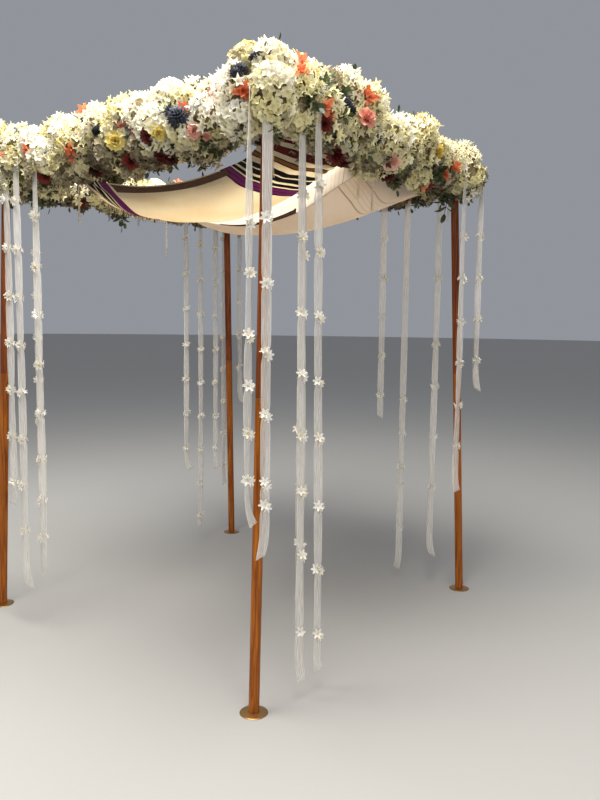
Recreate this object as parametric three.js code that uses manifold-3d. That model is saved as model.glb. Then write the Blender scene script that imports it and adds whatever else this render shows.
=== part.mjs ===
import * as THREE from "three";
import { mergeVertices } from "three/addons/utils/BufferGeometryUtils.js";
import Module from "manifold-3d";

// Wedding canopy: four wooden poles on brass plates carry a square of rails
// wrapped in flowers, with two prayer shawls as the roof and hanging ribbons.
// Millimetres, +Z up. The origin is on the floor at the centre of the square.

const wasm = await Module();
wasm.setup();

// Plan of the frame
const BASE_HALF = 925;
const TOP_HALF = 857;
const TWIST = THREE.MathUtils.degToRad(2.1);
const CORNERS = ["front", "right", "back", "left"];
const SIDES = ["front_right", "back_right", "back_left", "front_left"];
const GAP = 0.3;
const CUT_GAP = 0.5;

// Poles, each in two sections
const POLE_RADIUS = 22;
const POLE_TOP = 2370;
const POLE_JOINT = 1280;
const SPIGOT_RADIUS = 11;
const SPIGOT_LENGTH = 60;
const PIN_RADIUS = 6;
const PIN_LENGTH = 44;
const POLE_FACETS = 20;

// Base plates
const PLATE_RADIUS = 58;
const PLATE_EDGE = 2.5;
const PLATE_CROWN = 7.5;
const PLATE_FLOOR = 3;
const PLATE_FACETS = 28;

// Rails
const RAIL_WIDTH = 40;
const RAIL_THICK = 20;
const RAIL_END = 34;
const RAIL_HOLE_RADIUS = 9;
const HOLE_FACETS = 12;

// Garland: heads of blossom in pairs on both sides of each rail, and a ring at one corner
// The back left side is slimmer and hangs lower, because the photograph looks out over it
const HEAD_RADIUS = { front_right: 128, back_right: 128, back_left: 106, front_left: 128 };
const HEAD_OFFSET = { front_right: 84, back_right: 74, back_left: 24, front_left: 66 };
const STATION_PITCH = 144;
const STATION_COUNT = 9;
const CORNER_RADIUS = 136;
const CORNER_OFFSET = 86;
const CORNER_HEADS = 5;
const CORNER_PHASE = THREE.MathUtils.degToRad(-9);
const CORNER_STAGGER = 42;
const SEAM = 206;
const SIDE_RISE = { front_right: [72, 48], back_right: [44, 10], back_left: [-62, -82], front_left: [-38, 34] };
const CORNER_RISE = { front_right: 66, back_right: 42, back_left: -14, front_left: -4 };

// Cloth
const SHAWL_THICK = 3;
const SHAWL_STEPS = [10, 10];
const WHOLE = { across: [0, 1], along: [0, 1] };
const CLOTH_ROOM = 260;
const RIM_EDGE = 0.499;
const BAND_THICK = 1.5;
const BAND_CUTTER = 60;
const TIE_WIDTH = 10;
const TIE_THICK = 3;

// Ribbons
const RIBBON_WIDTH = 38;
const RIBBON_THICK = 1;
const RIBBON_TOP = { front: 2420, right: 2352, back: 2352, left: 2352 };
const RIBBON_STEPS = 6;
const RIBBON_SWAY = 5;
const SLOT_GAP = 0.8;

// Each shawl is drawn by rows of points, from its end at the front-right side
// to its other end, and in each row from the front-left edge to the other edge
const STRIPED_ROWS = [
  [[-786, -884, 2352], [-570, -878, 2335], [-350, -871, 2335], [-132, -863, 2352]],
  [[-832, -812, 2228], [-610, -752, 2246], [-370, -690, 2256], [-98, -640, 2290]],
  [[-838, -680, 2190], [-610, -604, 2170], [-370, -525, 2178], [-96, -466, 2210]],
  [[-840, -455, 2162], [-615, -390, 2114], [-370, -322, 2104], [-106, -256, 2140]],
  [[-840, -200, 2164], [-620, -140, 2102], [-375, -75, 2078], [-118, -5, 2100]],
  [[-842, 60, 2202], [-630, 122, 2102], [-380, 188, 2090], [-120, 254, 2116]],
  [[-858, 262, 2245], [-636, 330, 2160], [-390, 392, 2134], [-122, 460, 2142]],
];
const PLAIN_ROWS = [
  [[-20, -860, 2312], [62, -856, 2352], [250, -850, 2325], [450, -842, 2318], [650, -834, 2330],
    [828, -828, 2352]],
  [[-60, -685, 2218], [10, -670, 2342], [245, -655, 2252], [430, -630, 2200], [650, -690, 2275],
    [812, -730, 2322]],
  [[-50, -419, 2114], [30, -395, 2258], [240, -385, 2180], [425, -368, 2130], [650, -420, 2200],
    [806, -450, 2280]],
  [[-40, -101, 2074], [45, -80, 2204], [242, -65, 2137], [425, -50, 2087], [650, -75, 2150],
    [806, -75, 2240]],
  [[-20, 235, 2118], [56, 255, 2220], [244, 260, 2134], [425, 265, 2090], [650, 270, 2146],
    [806, 270, 2244]],
  [[4, 580, 2226], [70, 585, 2284], [250, 590, 2182], [430, 595, 2140], [650, 600, 2186],
    [800, 605, 2264]],
  [[20, 858, 2352], [85, 860, 2352], [250, 866, 2300], [430, 872, 2290], [620, 880, 2300],
    [786, 886, 2352]],
];

// Cord ties: from a point on the cloth to the rail that carries it
const RAIL_LOW = POLE_TOP + GAP;
const RAIL_HIGH = RAIL_LOW + RAIL_THICK + GAP;
const STRIPED_TIES = [
  [[-782, -884, 2350], [-782, -884, RAIL_LOW - GAP]],
  [[-140, -863, 2350], [-140, -863, RAIL_LOW - GAP]],
  [[-862, 255, 2242], [-862, 255, RAIL_HIGH - GAP]],
  [[-132, 450, 2141], [-132, 852, RAIL_LOW - GAP - 2]],
];
const PLAIN_TIES = [
  [[-12, -860, 2315], [-12, -860, RAIL_LOW - GAP]],
  [[62, -856, 2350], [62, -856, RAIL_LOW - GAP]],
  [[820, -828, 2350], [820, -828, RAIL_LOW - GAP]],
  [[30, 859, 2350], [30, 859, RAIL_LOW - GAP]],
  [[776, 885, 2350], [776, 885, RAIL_LOW - GAP]],
];

// Neckbands: span across and along the shawl, as fractions of its rows
const STRIPED_BAND = { across: [0.01, 0.085], along: [0.335, 0.83] };
const PLAIN_BAND = { across: [0.006, 0.045], along: [0.33, 0.62] };
const [BELOW, ABOVE] = [-1, 1];

// Ribbons: place in plan, height of the lower end, and turn of the strip
const RIBBONS = {
  front: [[-998, -952, 790, 40], [-958, -1004, 665, -38], [-742, -998, 75, 5],
    [-652, -1008, 85, -5], [-700, -972, 430, 10]],
  right: [[838, -556, 50, 80], [862, -752, 175, 70], [790, -940, 610, 10],
    [846, -392, 980, 95], [960, -960, 1180, 45]],
  back: [[462, 912, 540, 0], [602, 918, 110, 12], [770, 938, 500, -8],
    [905, 990, 350, 35], [985, 905, 960, 75]],
  left: [[-1006, 640, 610, 88], [-1000, 560, 190, 95], [-998, 405, 290, 85],
    [-985, 925, 480, 40], [-663, 924, 300, 5]],
};

function poleWood() {
  return new THREE.MeshStandardMaterial({ color: 0xae733e, roughness: 0.45, metalness: 0 });
}

function darkPoleWood() {
  return new THREE.MeshStandardMaterial({ color: 0x8d4f2c, roughness: 0.45, metalness: 0 });
}

function railWood() {
  return new THREE.MeshStandardMaterial({ color: 0xb58a5a, roughness: 0.7, metalness: 0 });
}

function brass() {
  return new THREE.MeshStandardMaterial({ color: 0xb98a4c, roughness: 0.35, metalness: 0.9 });
}

function blossom() {
  return new THREE.MeshStandardMaterial({ color: 0xe9e2c2, roughness: 0.9, metalness: 0 });
}

function shawlWool() {
  return new THREE.MeshStandardMaterial({ color: 0xf2e2bd, roughness: 0.95, metalness: 0 });
}

function bandCloth() {
  return new THREE.MeshStandardMaterial({ color: 0x5a4436, roughness: 0.8, metalness: 0 });
}

function organza() {
  return new THREE.MeshStandardMaterial({ color: 0xe4ddd2, roughness: 0.5, metalness: 0 });
}

// Quarter turns and the small twist of the top square
function topTurn(index) {
  return TWIST + index * Math.PI / 2;
}

function topCorner(index) {
  const corner = new THREE.Vector3(-TOP_HALF, -TOP_HALF, POLE_TOP);
  return corner.applyAxisAngle(new THREE.Vector3(0, 0, 1), topTurn(index));
}

function baseCorner(index) {
  const corner = new THREE.Vector3(-BASE_HALF, -BASE_HALF, 0);
  return corner.applyAxisAngle(new THREE.Vector3(0, 0, 1), index * Math.PI / 2);
}

// Leans an upright shape so that it stands on its base corner and meets its top corner
function leanPole(geometry, index) {
  const base = baseCorner(index);
  const top = topCorner(index);
  const lean = new THREE.Matrix4().set(
    1, 0, (top.x - base.x) / POLE_TOP, base.x,
    0, 1, (top.y - base.y) / POLE_TOP, base.y,
    0, 0, 1, 0,
    0, 0, 0, 1);
  return geometry.applyMatrix4(lean);
}

function turned(profile, facets) {
  const points = profile.map(([radius, height]) => new THREE.Vector2(radius, height));
  return new THREE.LatheGeometry(points, facets).rotateX(Math.PI / 2);
}

function solidOf(geometry) {
  const bare = geometry.clone();
  bare.deleteAttribute("normal");
  bare.deleteAttribute("uv");
  const merged = mergeVertices(bare, 0.001);
  return new wasm.Manifold(new wasm.Mesh({
    numProp: 3,
    vertProperties: merged.attributes.position.array,
    triVerts: new Uint32Array(merged.index.array),
  }));
}

function geometryOf(solid) {
  const { vertProperties, triVerts } = solid.getMesh();
  const geometry = new THREE.BufferGeometry();
  geometry.setAttribute("position", new THREE.BufferAttribute(vertProperties, 3));
  geometry.setIndex(new THREE.BufferAttribute(triVerts, 1));
  geometry.computeVertexNormals();
  return geometry;
}

function named(name, geometry, material) {
  const mesh = new THREE.Mesh(geometry, material);
  mesh.name = name;
  return mesh;
}

function plateGeometry() {
  const bore = POLE_RADIUS + CUT_GAP;
  const profile = [[0, 0], [PLATE_RADIUS, 0], [PLATE_RADIUS, PLATE_EDGE], [PLATE_RADIUS - 6, PLATE_EDGE + 2],
    [bore + 6, PLATE_CROWN], [bore, PLATE_CROWN], [bore, PLATE_FLOOR], [0, PLATE_FLOOR]];
  return turned(profile, PLATE_FACETS);
}

function lowerPoleGeometry() {
  const foot = PLATE_FLOOR + GAP;
  return turned([[0, foot], [POLE_RADIUS, foot], [POLE_RADIUS, POLE_JOINT], [SPIGOT_RADIUS, POLE_JOINT],
    [SPIGOT_RADIUS, POLE_JOINT + SPIGOT_LENGTH], [0, POLE_JOINT + SPIGOT_LENGTH]], POLE_FACETS);
}

function upperPoleGeometry() {
  const foot = POLE_JOINT + GAP;
  const bore = SPIGOT_RADIUS + GAP;
  return turned([[0, POLE_JOINT + SPIGOT_LENGTH + GAP], [bore, POLE_JOINT + SPIGOT_LENGTH + GAP], [bore, foot],
    [POLE_RADIUS, foot], [POLE_RADIUS, POLE_TOP], [PIN_RADIUS, POLE_TOP],
    [PIN_RADIUS, POLE_TOP + PIN_LENGTH], [0, POLE_TOP + PIN_LENGTH]], POLE_FACETS);
}

// The front-right and back-left rails lie on the poles, the other two lap over them
function railBottom(index) {
  return index % 2 === 0 ? RAIL_LOW : RAIL_HIGH;
}

function railBox(index, growth) {
  const length = 2 * (TOP_HALF + RAIL_END + growth);
  const box = new THREE.BoxGeometry(length, RAIL_WIDTH + 2 * growth, RAIL_THICK + 2 * growth);
  box.translate(0, -TOP_HALF, railBottom(index) + RAIL_THICK / 2);
  return box.rotateZ(topTurn(index));
}

function railSolid(index) {
  let rail = solidOf(railBox(index, 0));
  for (const end of [index, (index + 1) % 4]) {
    const hole = new THREE.CylinderGeometry(RAIL_HOLE_RADIUS, RAIL_HOLE_RADIUS, 4 * PIN_LENGTH, HOLE_FACETS);
    const corner = topCorner(end);
    hole.rotateX(Math.PI / 2).translate(corner.x, corner.y, corner.z + PIN_LENGTH);
    rail = rail.subtract(solidOf(hole));
  }
  return rail;
}

// One head of blossom at a place along, out from and above the middle of a rail
function head(radius, along, out, up) {
  const ball = new THREE.DodecahedronGeometry(radius, 0);
  ball.rotateZ(along * 0.01).rotateX(out * 0.02);
  return solidOf(ball.translate(along, -TOP_HALF - out, POLE_TOP + RAIL_THICK + up));
}

function garlandHeads(side) {
  const heads = [head(CORNER_RADIUS, -TOP_HALF, 0, CORNER_RISE[side] + 20)];
  for (let i = 0; i < CORNER_HEADS; i++) {
    const angle = i * 2 * Math.PI / CORNER_HEADS + CORNER_PHASE;
    const up = CORNER_RISE[side] + (i % 2 === 0 ? -CORNER_STAGGER : CORNER_STAGGER);
    heads.push(head(CORNER_RADIUS, -TOP_HALF + CORNER_OFFSET * Math.cos(angle),
      CORNER_OFFSET * Math.sin(angle), up));
  }
  for (let i = 0; i < STATION_COUNT; i++) {
    const along = (i - (STATION_COUNT - 1) / 2) * STATION_PITCH;
    const rise = THREE.MathUtils.lerp(...SIDE_RISE[side], i / (STATION_COUNT - 1));
    for (let j = 0; j < 2; j++) {
      const angle = j * Math.PI + i * 1.1;
      const radius = HEAD_RADIUS[side] + 6 * Math.sin(2.1 * i + 1.7 * j);
      const shift = (j - 0.5) * STATION_PITCH / 3;
      heads.push(head(radius, along + shift, HEAD_OFFSET[side] * Math.cos(angle),
        rise + HEAD_OFFSET[side] * Math.sin(angle)));
    }
  }
  return heads;
}

// The stretch that one garland side fills, up to its seams with the next sides
function garlandReach() {
  const length = 2 * TOP_HALF;
  const box = new THREE.BoxGeometry(length, 2 * SEAM - CUT_GAP, 4 * SEAM);
  return solidOf(box.translate(-SEAM - CUT_GAP / 2, -TOP_HALF - CUT_GAP / 2, POLE_TOP));
}

function garlandSolid(index, clearances) {
  const side = SIDES[index];
  const turn = new THREE.Matrix4().makeRotationZ(topTurn(index));
  let bloom = garlandHeads(side).reduce((sum, one) => sum.add(one)).intersect(garlandReach());
  bloom = solidOf(geometryOf(bloom).applyMatrix4(turn));
  const previous = (index + 3) % 4;
  const next = (index + 1) % 4;
  for (const neighbour of [index, previous, next]) {
    bloom = bloom.subtract(solidOf(railBox(neighbour, CUT_GAP)));
  }
  const corner = topCorner(index);
  const shank = new THREE.CylinderGeometry(POLE_RADIUS + CUT_GAP, POLE_RADIUS + CUT_GAP,
    POLE_TOP - POLE_JOINT, POLE_FACETS).rotateX(Math.PI / 2);
  shank.translate(0, 0, (POLE_TOP + POLE_JOINT) / 2 + CUT_GAP);
  bloom = bloom.subtract(solidOf(leanPole(shank, index)));
  const pin = new THREE.CylinderGeometry(RAIL_HOLE_RADIUS, RAIL_HOLE_RADIUS, 2 * PIN_LENGTH, HOLE_FACETS);
  pin.rotateX(Math.PI / 2).translate(corner.x, corner.y, POLE_TOP + CUT_GAP);
  bloom = bloom.subtract(solidOf(pin));
  const pieces = clearances.reduce((left, cut) => left.subtract(cut), bloom).decompose();
  return pieces.reduce((largest, piece) => (piece.volume() > largest.volume() ? piece : largest));
}

// Point of a shawl at a fraction across and along its rows
function shawlPoint(rows, across, along) {
  const line = rows.map((row) => {
    const points = row.map((point) => new THREE.Vector3(...point));
    return new THREE.CatmullRomCurve3(points, false, "catmullrom", 0.5).getPoint(across);
  });
  return new THREE.CatmullRomCurve3(line, false, "catmullrom", 0.5).getPoint(along);
}

function shawlFrame(rows, across, along) {
  const step = 0.004;
  const clamp = (value) => Math.min(1 - step, Math.max(step, value));
  const [u, v] = [clamp(across), clamp(along)];
  const du = shawlPoint(rows, u + step, v).sub(shawlPoint(rows, u - step, v)).normalize();
  const dv = shawlPoint(rows, u, v + step).sub(shawlPoint(rows, u, v - step)).normalize();
  return { point: shawlPoint(rows, across, along), du, dv, normal: du.clone().cross(dv).normalize() };
}

// A box whose lower facets are split along the same diagonals as its upper ones,
// so that a thin bent layer keeps its thickness and lies flat on the next one
function layerBox(steps) {
  const box = new THREE.BoxGeometry(1, 1, 1, steps[0], steps[1], 1);
  const index = box.index.array;
  const lower = box.groups[5];
  for (let i = lower.start; i < lower.start + lower.count; i += 6) {
    const [a, b, d, , c] = index.slice(i, i + 6);
    index.set([a, b, c, a, c, d], i);
  }
  return box;
}

// A flat box bent onto a stretch of a shawl, at a height above its middle layer.
// Its rim grows outwards by rim, and its lower face can hang down by drop.
function clothGeometry(rows, patch, steps, thickness, height, { rim = 0, drop = 0 } = {}) {
  const box = layerBox(steps);
  const place = box.attributes.position;
  for (let i = 0; i < place.count; i++) {
    const [x, y, z] = [place.getX(i), place.getY(i), place.getZ(i)];
    const across = THREE.MathUtils.lerp(...patch.across, x + 0.5);
    const along = THREE.MathUtils.lerp(...patch.along, y + 0.5);
    const { point, du, dv, normal } = shawlFrame(rows, across, along);
    point.addScaledVector(normal, height + z * thickness);
    if (Math.abs(x) > RIM_EDGE) point.addScaledVector(du, Math.sign(x) * rim);
    if (Math.abs(y) > RIM_EDGE) point.addScaledVector(dv, Math.sign(y) * rim);
    place.setXYZ(i, point.x, point.y, z < 0 ? point.z - drop : point.z);
  }
  return box;
}

// A cord tie of flat section between two points
function tieSolid(from, to, growth) {
  const start = new THREE.Vector3(...from);
  const end = new THREE.Vector3(...to);
  const box = new THREE.BoxGeometry(TIE_WIDTH + 2 * growth, TIE_THICK + 2 * growth, start.distanceTo(end) + growth);
  const turn = new THREE.Quaternion().setFromUnitVectors(new THREE.Vector3(0, 0, 1),
    end.clone().sub(start).normalize());
  box.translate(0, 0, growth / 2).applyQuaternion(turn);
  const middle = start.add(end).multiplyScalar(0.5);
  return solidOf(box.translate(middle.x, middle.y, middle.z));
}

function shawlSolid(rows, ties) {
  const sheet = solidOf(clothGeometry(rows, WHOLE, SHAWL_STEPS, SHAWL_THICK, 0));
  return ties.reduce((sum, [from, to]) => sum.add(tieSolid(from, to, 0)), sheet);
}

// The room that the flowers leave for the cloth: a slightly grown sheet, and all below it
function shawlClearances(rows) {
  const thickness = SHAWL_THICK + 2 * CUT_GAP;
  return [
    clothGeometry(rows, WHOLE, SHAWL_STEPS, thickness, 0, { rim: CUT_GAP }),
    clothGeometry(rows, WHOLE, SHAWL_STEPS, thickness, 0, { drop: CLOTH_ROOM }),
  ].map(solidOf);
}

// A neckband lies on a face of its shawl: a copy of the sheet beside it, cut to a strip
function bandSolid(rows, patch, face) {
  const height = face * (SHAWL_THICK / 2 + GAP + BAND_THICK / 2);
  const layer = solidOf(clothGeometry(rows, WHOLE, SHAWL_STEPS, BAND_THICK, height));
  return layer.intersect(solidOf(clothGeometry(rows, patch, [1, 6], BAND_CUTTER, 0)));
}

function ribbonGeometry([x, y, low, turn], top, index) {
  const box = new THREE.BoxGeometry(RIBBON_WIDTH, RIBBON_THICK, 1, 1, 1, RIBBON_STEPS);
  const place = box.attributes.position;
  for (let i = 0; i < place.count; i++) {
    const share = place.getZ(i) + 0.5;
    const sway = RIBBON_SWAY * Math.sin(Math.PI * 2 * share + index) * (1 - share);
    place.setY(i, place.getY(i) + sway);
    place.setZ(i, THREE.MathUtils.lerp(low, top, share));
  }
  return box.rotateZ(THREE.MathUtils.degToRad(turn)).translate(x, y, 0);
}

// The slot among the flowers that a ribbon goes up into
function slotSolid([x, y, low, turn], top) {
  const depth = 400;
  const box = new THREE.BoxGeometry(RIBBON_WIDTH + 2 * SLOT_GAP, RIBBON_THICK + 2 * SLOT_GAP, depth);
  box.translate(0, 0, top + SLOT_GAP - depth / 2);
  return solidOf(box.rotateZ(THREE.MathUtils.degToRad(turn)).translate(x, y, 0));
}

const canopy = new THREE.Group();

CORNERS.forEach((corner, index) => {
  const base = baseCorner(index);
  const plate = named(`base_plate_${corner}`, plateGeometry(), brass());
  plate.position.copy(base);
  canopy.add(plate);
  canopy.add(named(`pole_lower_${corner}`, leanPole(lowerPoleGeometry(), index), poleWood()));
  canopy.add(named(`pole_upper_${corner}`, leanPole(upperPoleGeometry(), index), darkPoleWood()));
});

SIDES.forEach((side, index) => {
  canopy.add(named(`rail_${side}`, geometryOf(railSolid(index)), railWood()));
});

const clearances = [...shawlClearances(STRIPED_ROWS), ...shawlClearances(PLAIN_ROWS)];
for (const [from, to] of [...STRIPED_TIES, ...PLAIN_TIES]) {
  clearances.push(tieSolid(from, to, CUT_GAP));
}
CORNERS.forEach((corner) => {
  RIBBONS[corner].forEach((ribbon, i) => {
    clearances.push(slotSolid(ribbon, RIBBON_TOP[corner]));
    canopy.add(named(`ribbon_${corner}_${i + 1}`, ribbonGeometry(ribbon, RIBBON_TOP[corner], i), organza()));
  });
});

SIDES.forEach((side, index) => {
  canopy.add(named(`garland_${side}`, geometryOf(garlandSolid(index, clearances)), blossom()));
});

canopy.add(named("shawl_striped", geometryOf(shawlSolid(STRIPED_ROWS, STRIPED_TIES)), shawlWool()));
canopy.add(named("shawl_plain", geometryOf(shawlSolid(PLAIN_ROWS, PLAIN_TIES)), shawlWool()));

canopy.add(named("neckband_striped", geometryOf(bandSolid(STRIPED_ROWS, STRIPED_BAND, BELOW)), bandCloth()));
canopy.add(named("neckband_plain", geometryOf(bandSolid(PLAIN_ROWS, PLAIN_BAND, ABOVE)), bandCloth()));

export default canopy;
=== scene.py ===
import math
import random
from types import SimpleNamespace

import bpy
from mathutils import Matrix, Vector, noise
from mathutils.bvhtree import BVHTree


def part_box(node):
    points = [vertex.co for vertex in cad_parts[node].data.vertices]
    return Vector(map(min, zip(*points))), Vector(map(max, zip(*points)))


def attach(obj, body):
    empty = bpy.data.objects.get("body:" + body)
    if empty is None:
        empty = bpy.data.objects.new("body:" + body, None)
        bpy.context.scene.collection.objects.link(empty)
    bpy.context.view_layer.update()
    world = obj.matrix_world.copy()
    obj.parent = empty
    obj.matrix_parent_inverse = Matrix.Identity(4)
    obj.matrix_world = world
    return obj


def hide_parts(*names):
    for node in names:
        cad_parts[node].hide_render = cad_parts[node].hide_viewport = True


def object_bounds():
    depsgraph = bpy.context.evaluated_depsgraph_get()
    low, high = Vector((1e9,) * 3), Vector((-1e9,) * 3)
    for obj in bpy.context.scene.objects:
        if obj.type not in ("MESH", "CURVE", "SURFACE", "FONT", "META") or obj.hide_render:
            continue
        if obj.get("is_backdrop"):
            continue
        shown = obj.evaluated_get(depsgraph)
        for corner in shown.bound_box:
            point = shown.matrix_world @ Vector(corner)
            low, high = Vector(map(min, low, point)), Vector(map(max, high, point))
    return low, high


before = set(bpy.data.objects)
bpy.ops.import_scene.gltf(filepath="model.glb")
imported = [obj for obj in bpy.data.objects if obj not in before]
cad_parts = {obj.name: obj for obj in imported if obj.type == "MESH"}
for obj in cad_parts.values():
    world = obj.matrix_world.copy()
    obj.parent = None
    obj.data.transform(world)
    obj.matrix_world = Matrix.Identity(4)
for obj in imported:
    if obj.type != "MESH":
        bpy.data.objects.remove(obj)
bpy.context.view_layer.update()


# View, light and floor
# The eye is at standing height, out beyond the front corner, with a very slight roll.
# A large soft light hangs over the flowers, a weaker one stands in front, and the floor is plain.
EYE = Vector((-3.132, -2.857, 1.6))
LOOK_DOWN = math.radians(6.26)
LOOK_ROUND = math.radians(52.16)
ROLL = math.radians(0.70)
PICTURE_WIDTH, PICTURE_HEIGHT = 600, 800
FOCAL_PIXELS = 760
SENSOR_MM = 36
SKY_COLOUR, SKY_STRENGTH = (0.86, 0.91, 1.0, 1), 0.33
FLOOR_REACH, FLOOR_SIDES = 60, 64

ahead = Vector((math.sin(LOOK_ROUND) * math.cos(LOOK_DOWN),
                math.cos(LOOK_ROUND) * math.cos(LOOK_DOWN), -math.sin(LOOK_DOWN)))
level = Vector((math.cos(LOOK_ROUND), -math.sin(LOOK_ROUND), 0))
upright = level.cross(ahead)
across_view = level * math.cos(ROLL) + upright * math.sin(ROLL)
up_view = upright * math.cos(ROLL) - level * math.sin(ROLL)


def link(name, data):
    thing = bpy.data.objects.new(name, data)
    bpy.context.scene.collection.objects.link(thing)
    return thing


lens = bpy.data.cameras.new("camera")
lens.sensor_width = SENSOR_MM
lens.lens = SENSOR_MM * FOCAL_PIXELS / PICTURE_HEIGHT
camera = link("camera", lens)
camera.matrix_world = Matrix.Translation(EYE) @ Matrix((across_view, up_view, -ahead)).transposed().to_4x4()
bpy.context.scene.camera = camera
bpy.context.scene.view_settings.view_transform = "Standard"


def soft_light(name, place, aim, size, power, colour):
    lamp = bpy.data.lights.new(name, "AREA")
    lamp.size = size
    lamp.energy = power
    lamp.color = colour
    light = link(name, lamp)
    light.location = place
    light.rotation_euler = (Vector(aim) - Vector(place)).to_track_quat("-Z", "Y").to_euler()


soft_light("key_light", place=(-0.9, -0.3, 4.7), aim=(-0.1, 0, 2.3), size=2.8, power=420,
           colour=(1, 0.97, 0.91))
soft_light("front_light", place=(-4.2, -5.6, 2.6), aim=(0, 0, 1.9), size=2.6, power=110,
           colour=(1, 0.98, 0.95))

world = bpy.data.worlds.new("studio")
world.use_nodes = True
sky = world.node_tree.nodes["Background"].inputs
sky["Color"].default_value = SKY_COLOUR
sky["Strength"].default_value = SKY_STRENGTH
bpy.context.scene.world = world


def paint(code):
    """Linear colour of a six-digit screen colour."""
    parts = [int(code[i:i + 2], 16) / 255 for i in (1, 3, 5)]
    return (*[x / 12.92 if x <= 0.04045 else ((x + 0.055) / 1.055) ** 2.4 for x in parts], 1)


def add(tree, kind, inputs=None, **settings):
    """A new node; each input is a value, or a socket to link from."""
    made = tree.nodes.new(kind)
    for key, value in settings.items():
        setattr(made, key, value)
    for key, value in (inputs or {}).items():
        if isinstance(value, bpy.types.NodeSocket):
            tree.links.new(value, made.inputs[key])
        else:
            made.inputs[key].default_value = value
    return made


def new_finish(name):
    finish = bpy.data.materials.new(name)
    finish.use_nodes = True
    finish.node_tree.nodes.clear()
    return finish, finish.node_tree


def surface(tree, colour, clear=0.0, **inputs):
    """The usual shader, linked to the output; clear is the share of light that comes through it."""
    face = add(tree, "ShaderNodeBsdfPrincipled", {"Base Color": colour, **inputs}).outputs[0]
    if clear:
        glow = add(tree, "ShaderNodeBsdfTranslucent", {"Color": colour, "Normal": inputs["Normal"]})
        face = add(tree, "ShaderNodeMixShader", {0: clear, 1: face, 2: glow.outputs[0]}).outputs[0]
    add(tree, "ShaderNodeOutputMaterial", {"Surface": face})


def round_point(radius, angle, height=0.0):
    """Point at an angle round the upright axis."""
    return Vector((radius * math.cos(angle), radius * math.sin(angle), height))


def new_piece(name, vertices, faces, finish):
    mesh = bpy.data.meshes.new(name)
    mesh.from_pydata(vertices, [], faces)
    mesh.materials.append(finish)
    return link(name, mesh)


floor_finish, tree = new_finish("floor_matt")
surface(tree, paint("#b9b7b3"), Roughness=0.9)
rim = [round_point(FLOOR_REACH, math.tau * i / FLOOR_SIDES) for i in range(FLOOR_SIDES)]
floor = new_piece("floor", rim, [range(FLOOR_SIDES)], floor_finish)
floor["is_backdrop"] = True


# Base plates
# Four round plates of turned brass with a shallow crown and a bored seat for the pole.
# Each lies flat on the floor under its pole, browned in patches, its upper face and rim lightened with a
# painted highlight.
CORNERS = ("front", "right", "back", "left")
PLATE_RADIUS = 0.058
PLATE_CROWN = 0.0075
PLATE_SEAT = 0.003
PLATE_BORE = 0.0225
PLATE_SIDES = 72
PLATE_PROFILE = (
    (0, 0), (PLATE_RADIUS - 0.0008, 0), (PLATE_RADIUS, 0.0008), (PLATE_RADIUS, 0.0019),
    (PLATE_RADIUS - 0.0009, 0.0028), (PLATE_RADIUS - 0.004, 0.0036), (PLATE_RADIUS - 0.012, 0.0049),
    (PLATE_BORE + 0.009, 0.0070), (PLATE_BORE + 0.006, PLATE_CROWN), (PLATE_BORE + 0.0006, PLATE_CROWN),
    (PLATE_BORE, PLATE_CROWN - 0.0006), (PLATE_BORE, PLATE_SEAT), (0, PLATE_SEAT))
SHARP = math.radians(40)
LATHE_LINES = 2600


def ramp(tree, share, stops, steps=False):
    """Colour socket of a ramp over a share from 0 to 1."""
    made = add(tree, "ShaderNodeValToRGB", {"Fac": share})
    made.color_ramp.interpolation = "CONSTANT" if steps else "LINEAR"
    elements = made.color_ramp.elements
    while len(elements) < len(stops):
        elements.new(1)
    for element, (place, code) in zip(elements, stops):
        element.position = place
        element.color = paint(code)
    return made.outputs["Color"]


def blended(tree, share, first, second, how="MIX"):
    made = add(tree, "ShaderNodeMix", {0: share, 6: first, 7: second}, data_type="RGBA", blend_type=how)
    return made.outputs[2]


def between(tree, value, low, high, new_low, new_high):
    made = add(tree, "ShaderNodeMapRange", {"Value": value, "From Min": low, "From Max": high,
                                            "To Min": new_low, "To Max": new_high})
    return made.outputs[0]


def grain(tree, place, scale, stretch=(1, 1, 1), detail=4, distortion=0.0):
    """Height socket of a noise over a map, stretched along its axes."""
    laid = add(tree, "ShaderNodeMapping", {"Vector": place, "Scale": stretch}).outputs[0]
    made = add(tree, "ShaderNodeTexNoise", {"Vector": laid, "Scale": scale, "Detail": detail,
                                            "Distortion": distortion})
    return made.outputs[0]


def object_grain(tree, *measures, **more):
    """Height socket of a noise that lies still in the object."""
    return grain(tree, add(tree, "ShaderNodeTexCoord").outputs["Object"], *measures, **more)


def bumped(tree, height, strength, distance):
    made = add(tree, "ShaderNodeBump", {"Height": height, "Strength": strength, "Distance": distance})
    return made.outputs[0]


def mark_points(mesh, name, values):
    """A number on each point of a mesh, for its finish to read."""
    mesh.attributes.new(name, "FLOAT", "POINT").data.foreach_set("value", values)


def marked(tree, name):
    """Socket of the number that the points of a mesh carry."""
    return add(tree, "ShaderNodeAttribute", attribute_name=name).outputs["Fac"]


def turned(name, profile, sides, finish):
    """A closed solid turned from (radius, height) points that start and end on the axis."""
    vertices, rings, lathe_marks, run, last = [], [], [], 0.0, profile[0]
    for radius, height in profile:
        run += math.hypot(radius - last[0], height - last[1])
        last = (radius, height)
        count = sides if radius else 1
        rings.append([len(vertices) + j % count for j in range(sides)])
        vertices += [round_point(radius, math.tau * j / sides, height) for j in range(count)]
        lathe_marks += [run] * count
    faces = []
    for low, high in zip(rings, rings[1:]):
        for j in range(sides):
            k = (j + 1) % sides
            faces.append(list(dict.fromkeys((low[j], low[k], high[k], high[j]))))
    piece = new_piece(name, vertices, faces, finish)
    mark_points(piece.data, "turning", lathe_marks)
    piece.data.shade_smooth()
    piece.data.set_sharp_from_angle(angle=SHARP)
    return piece


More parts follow.
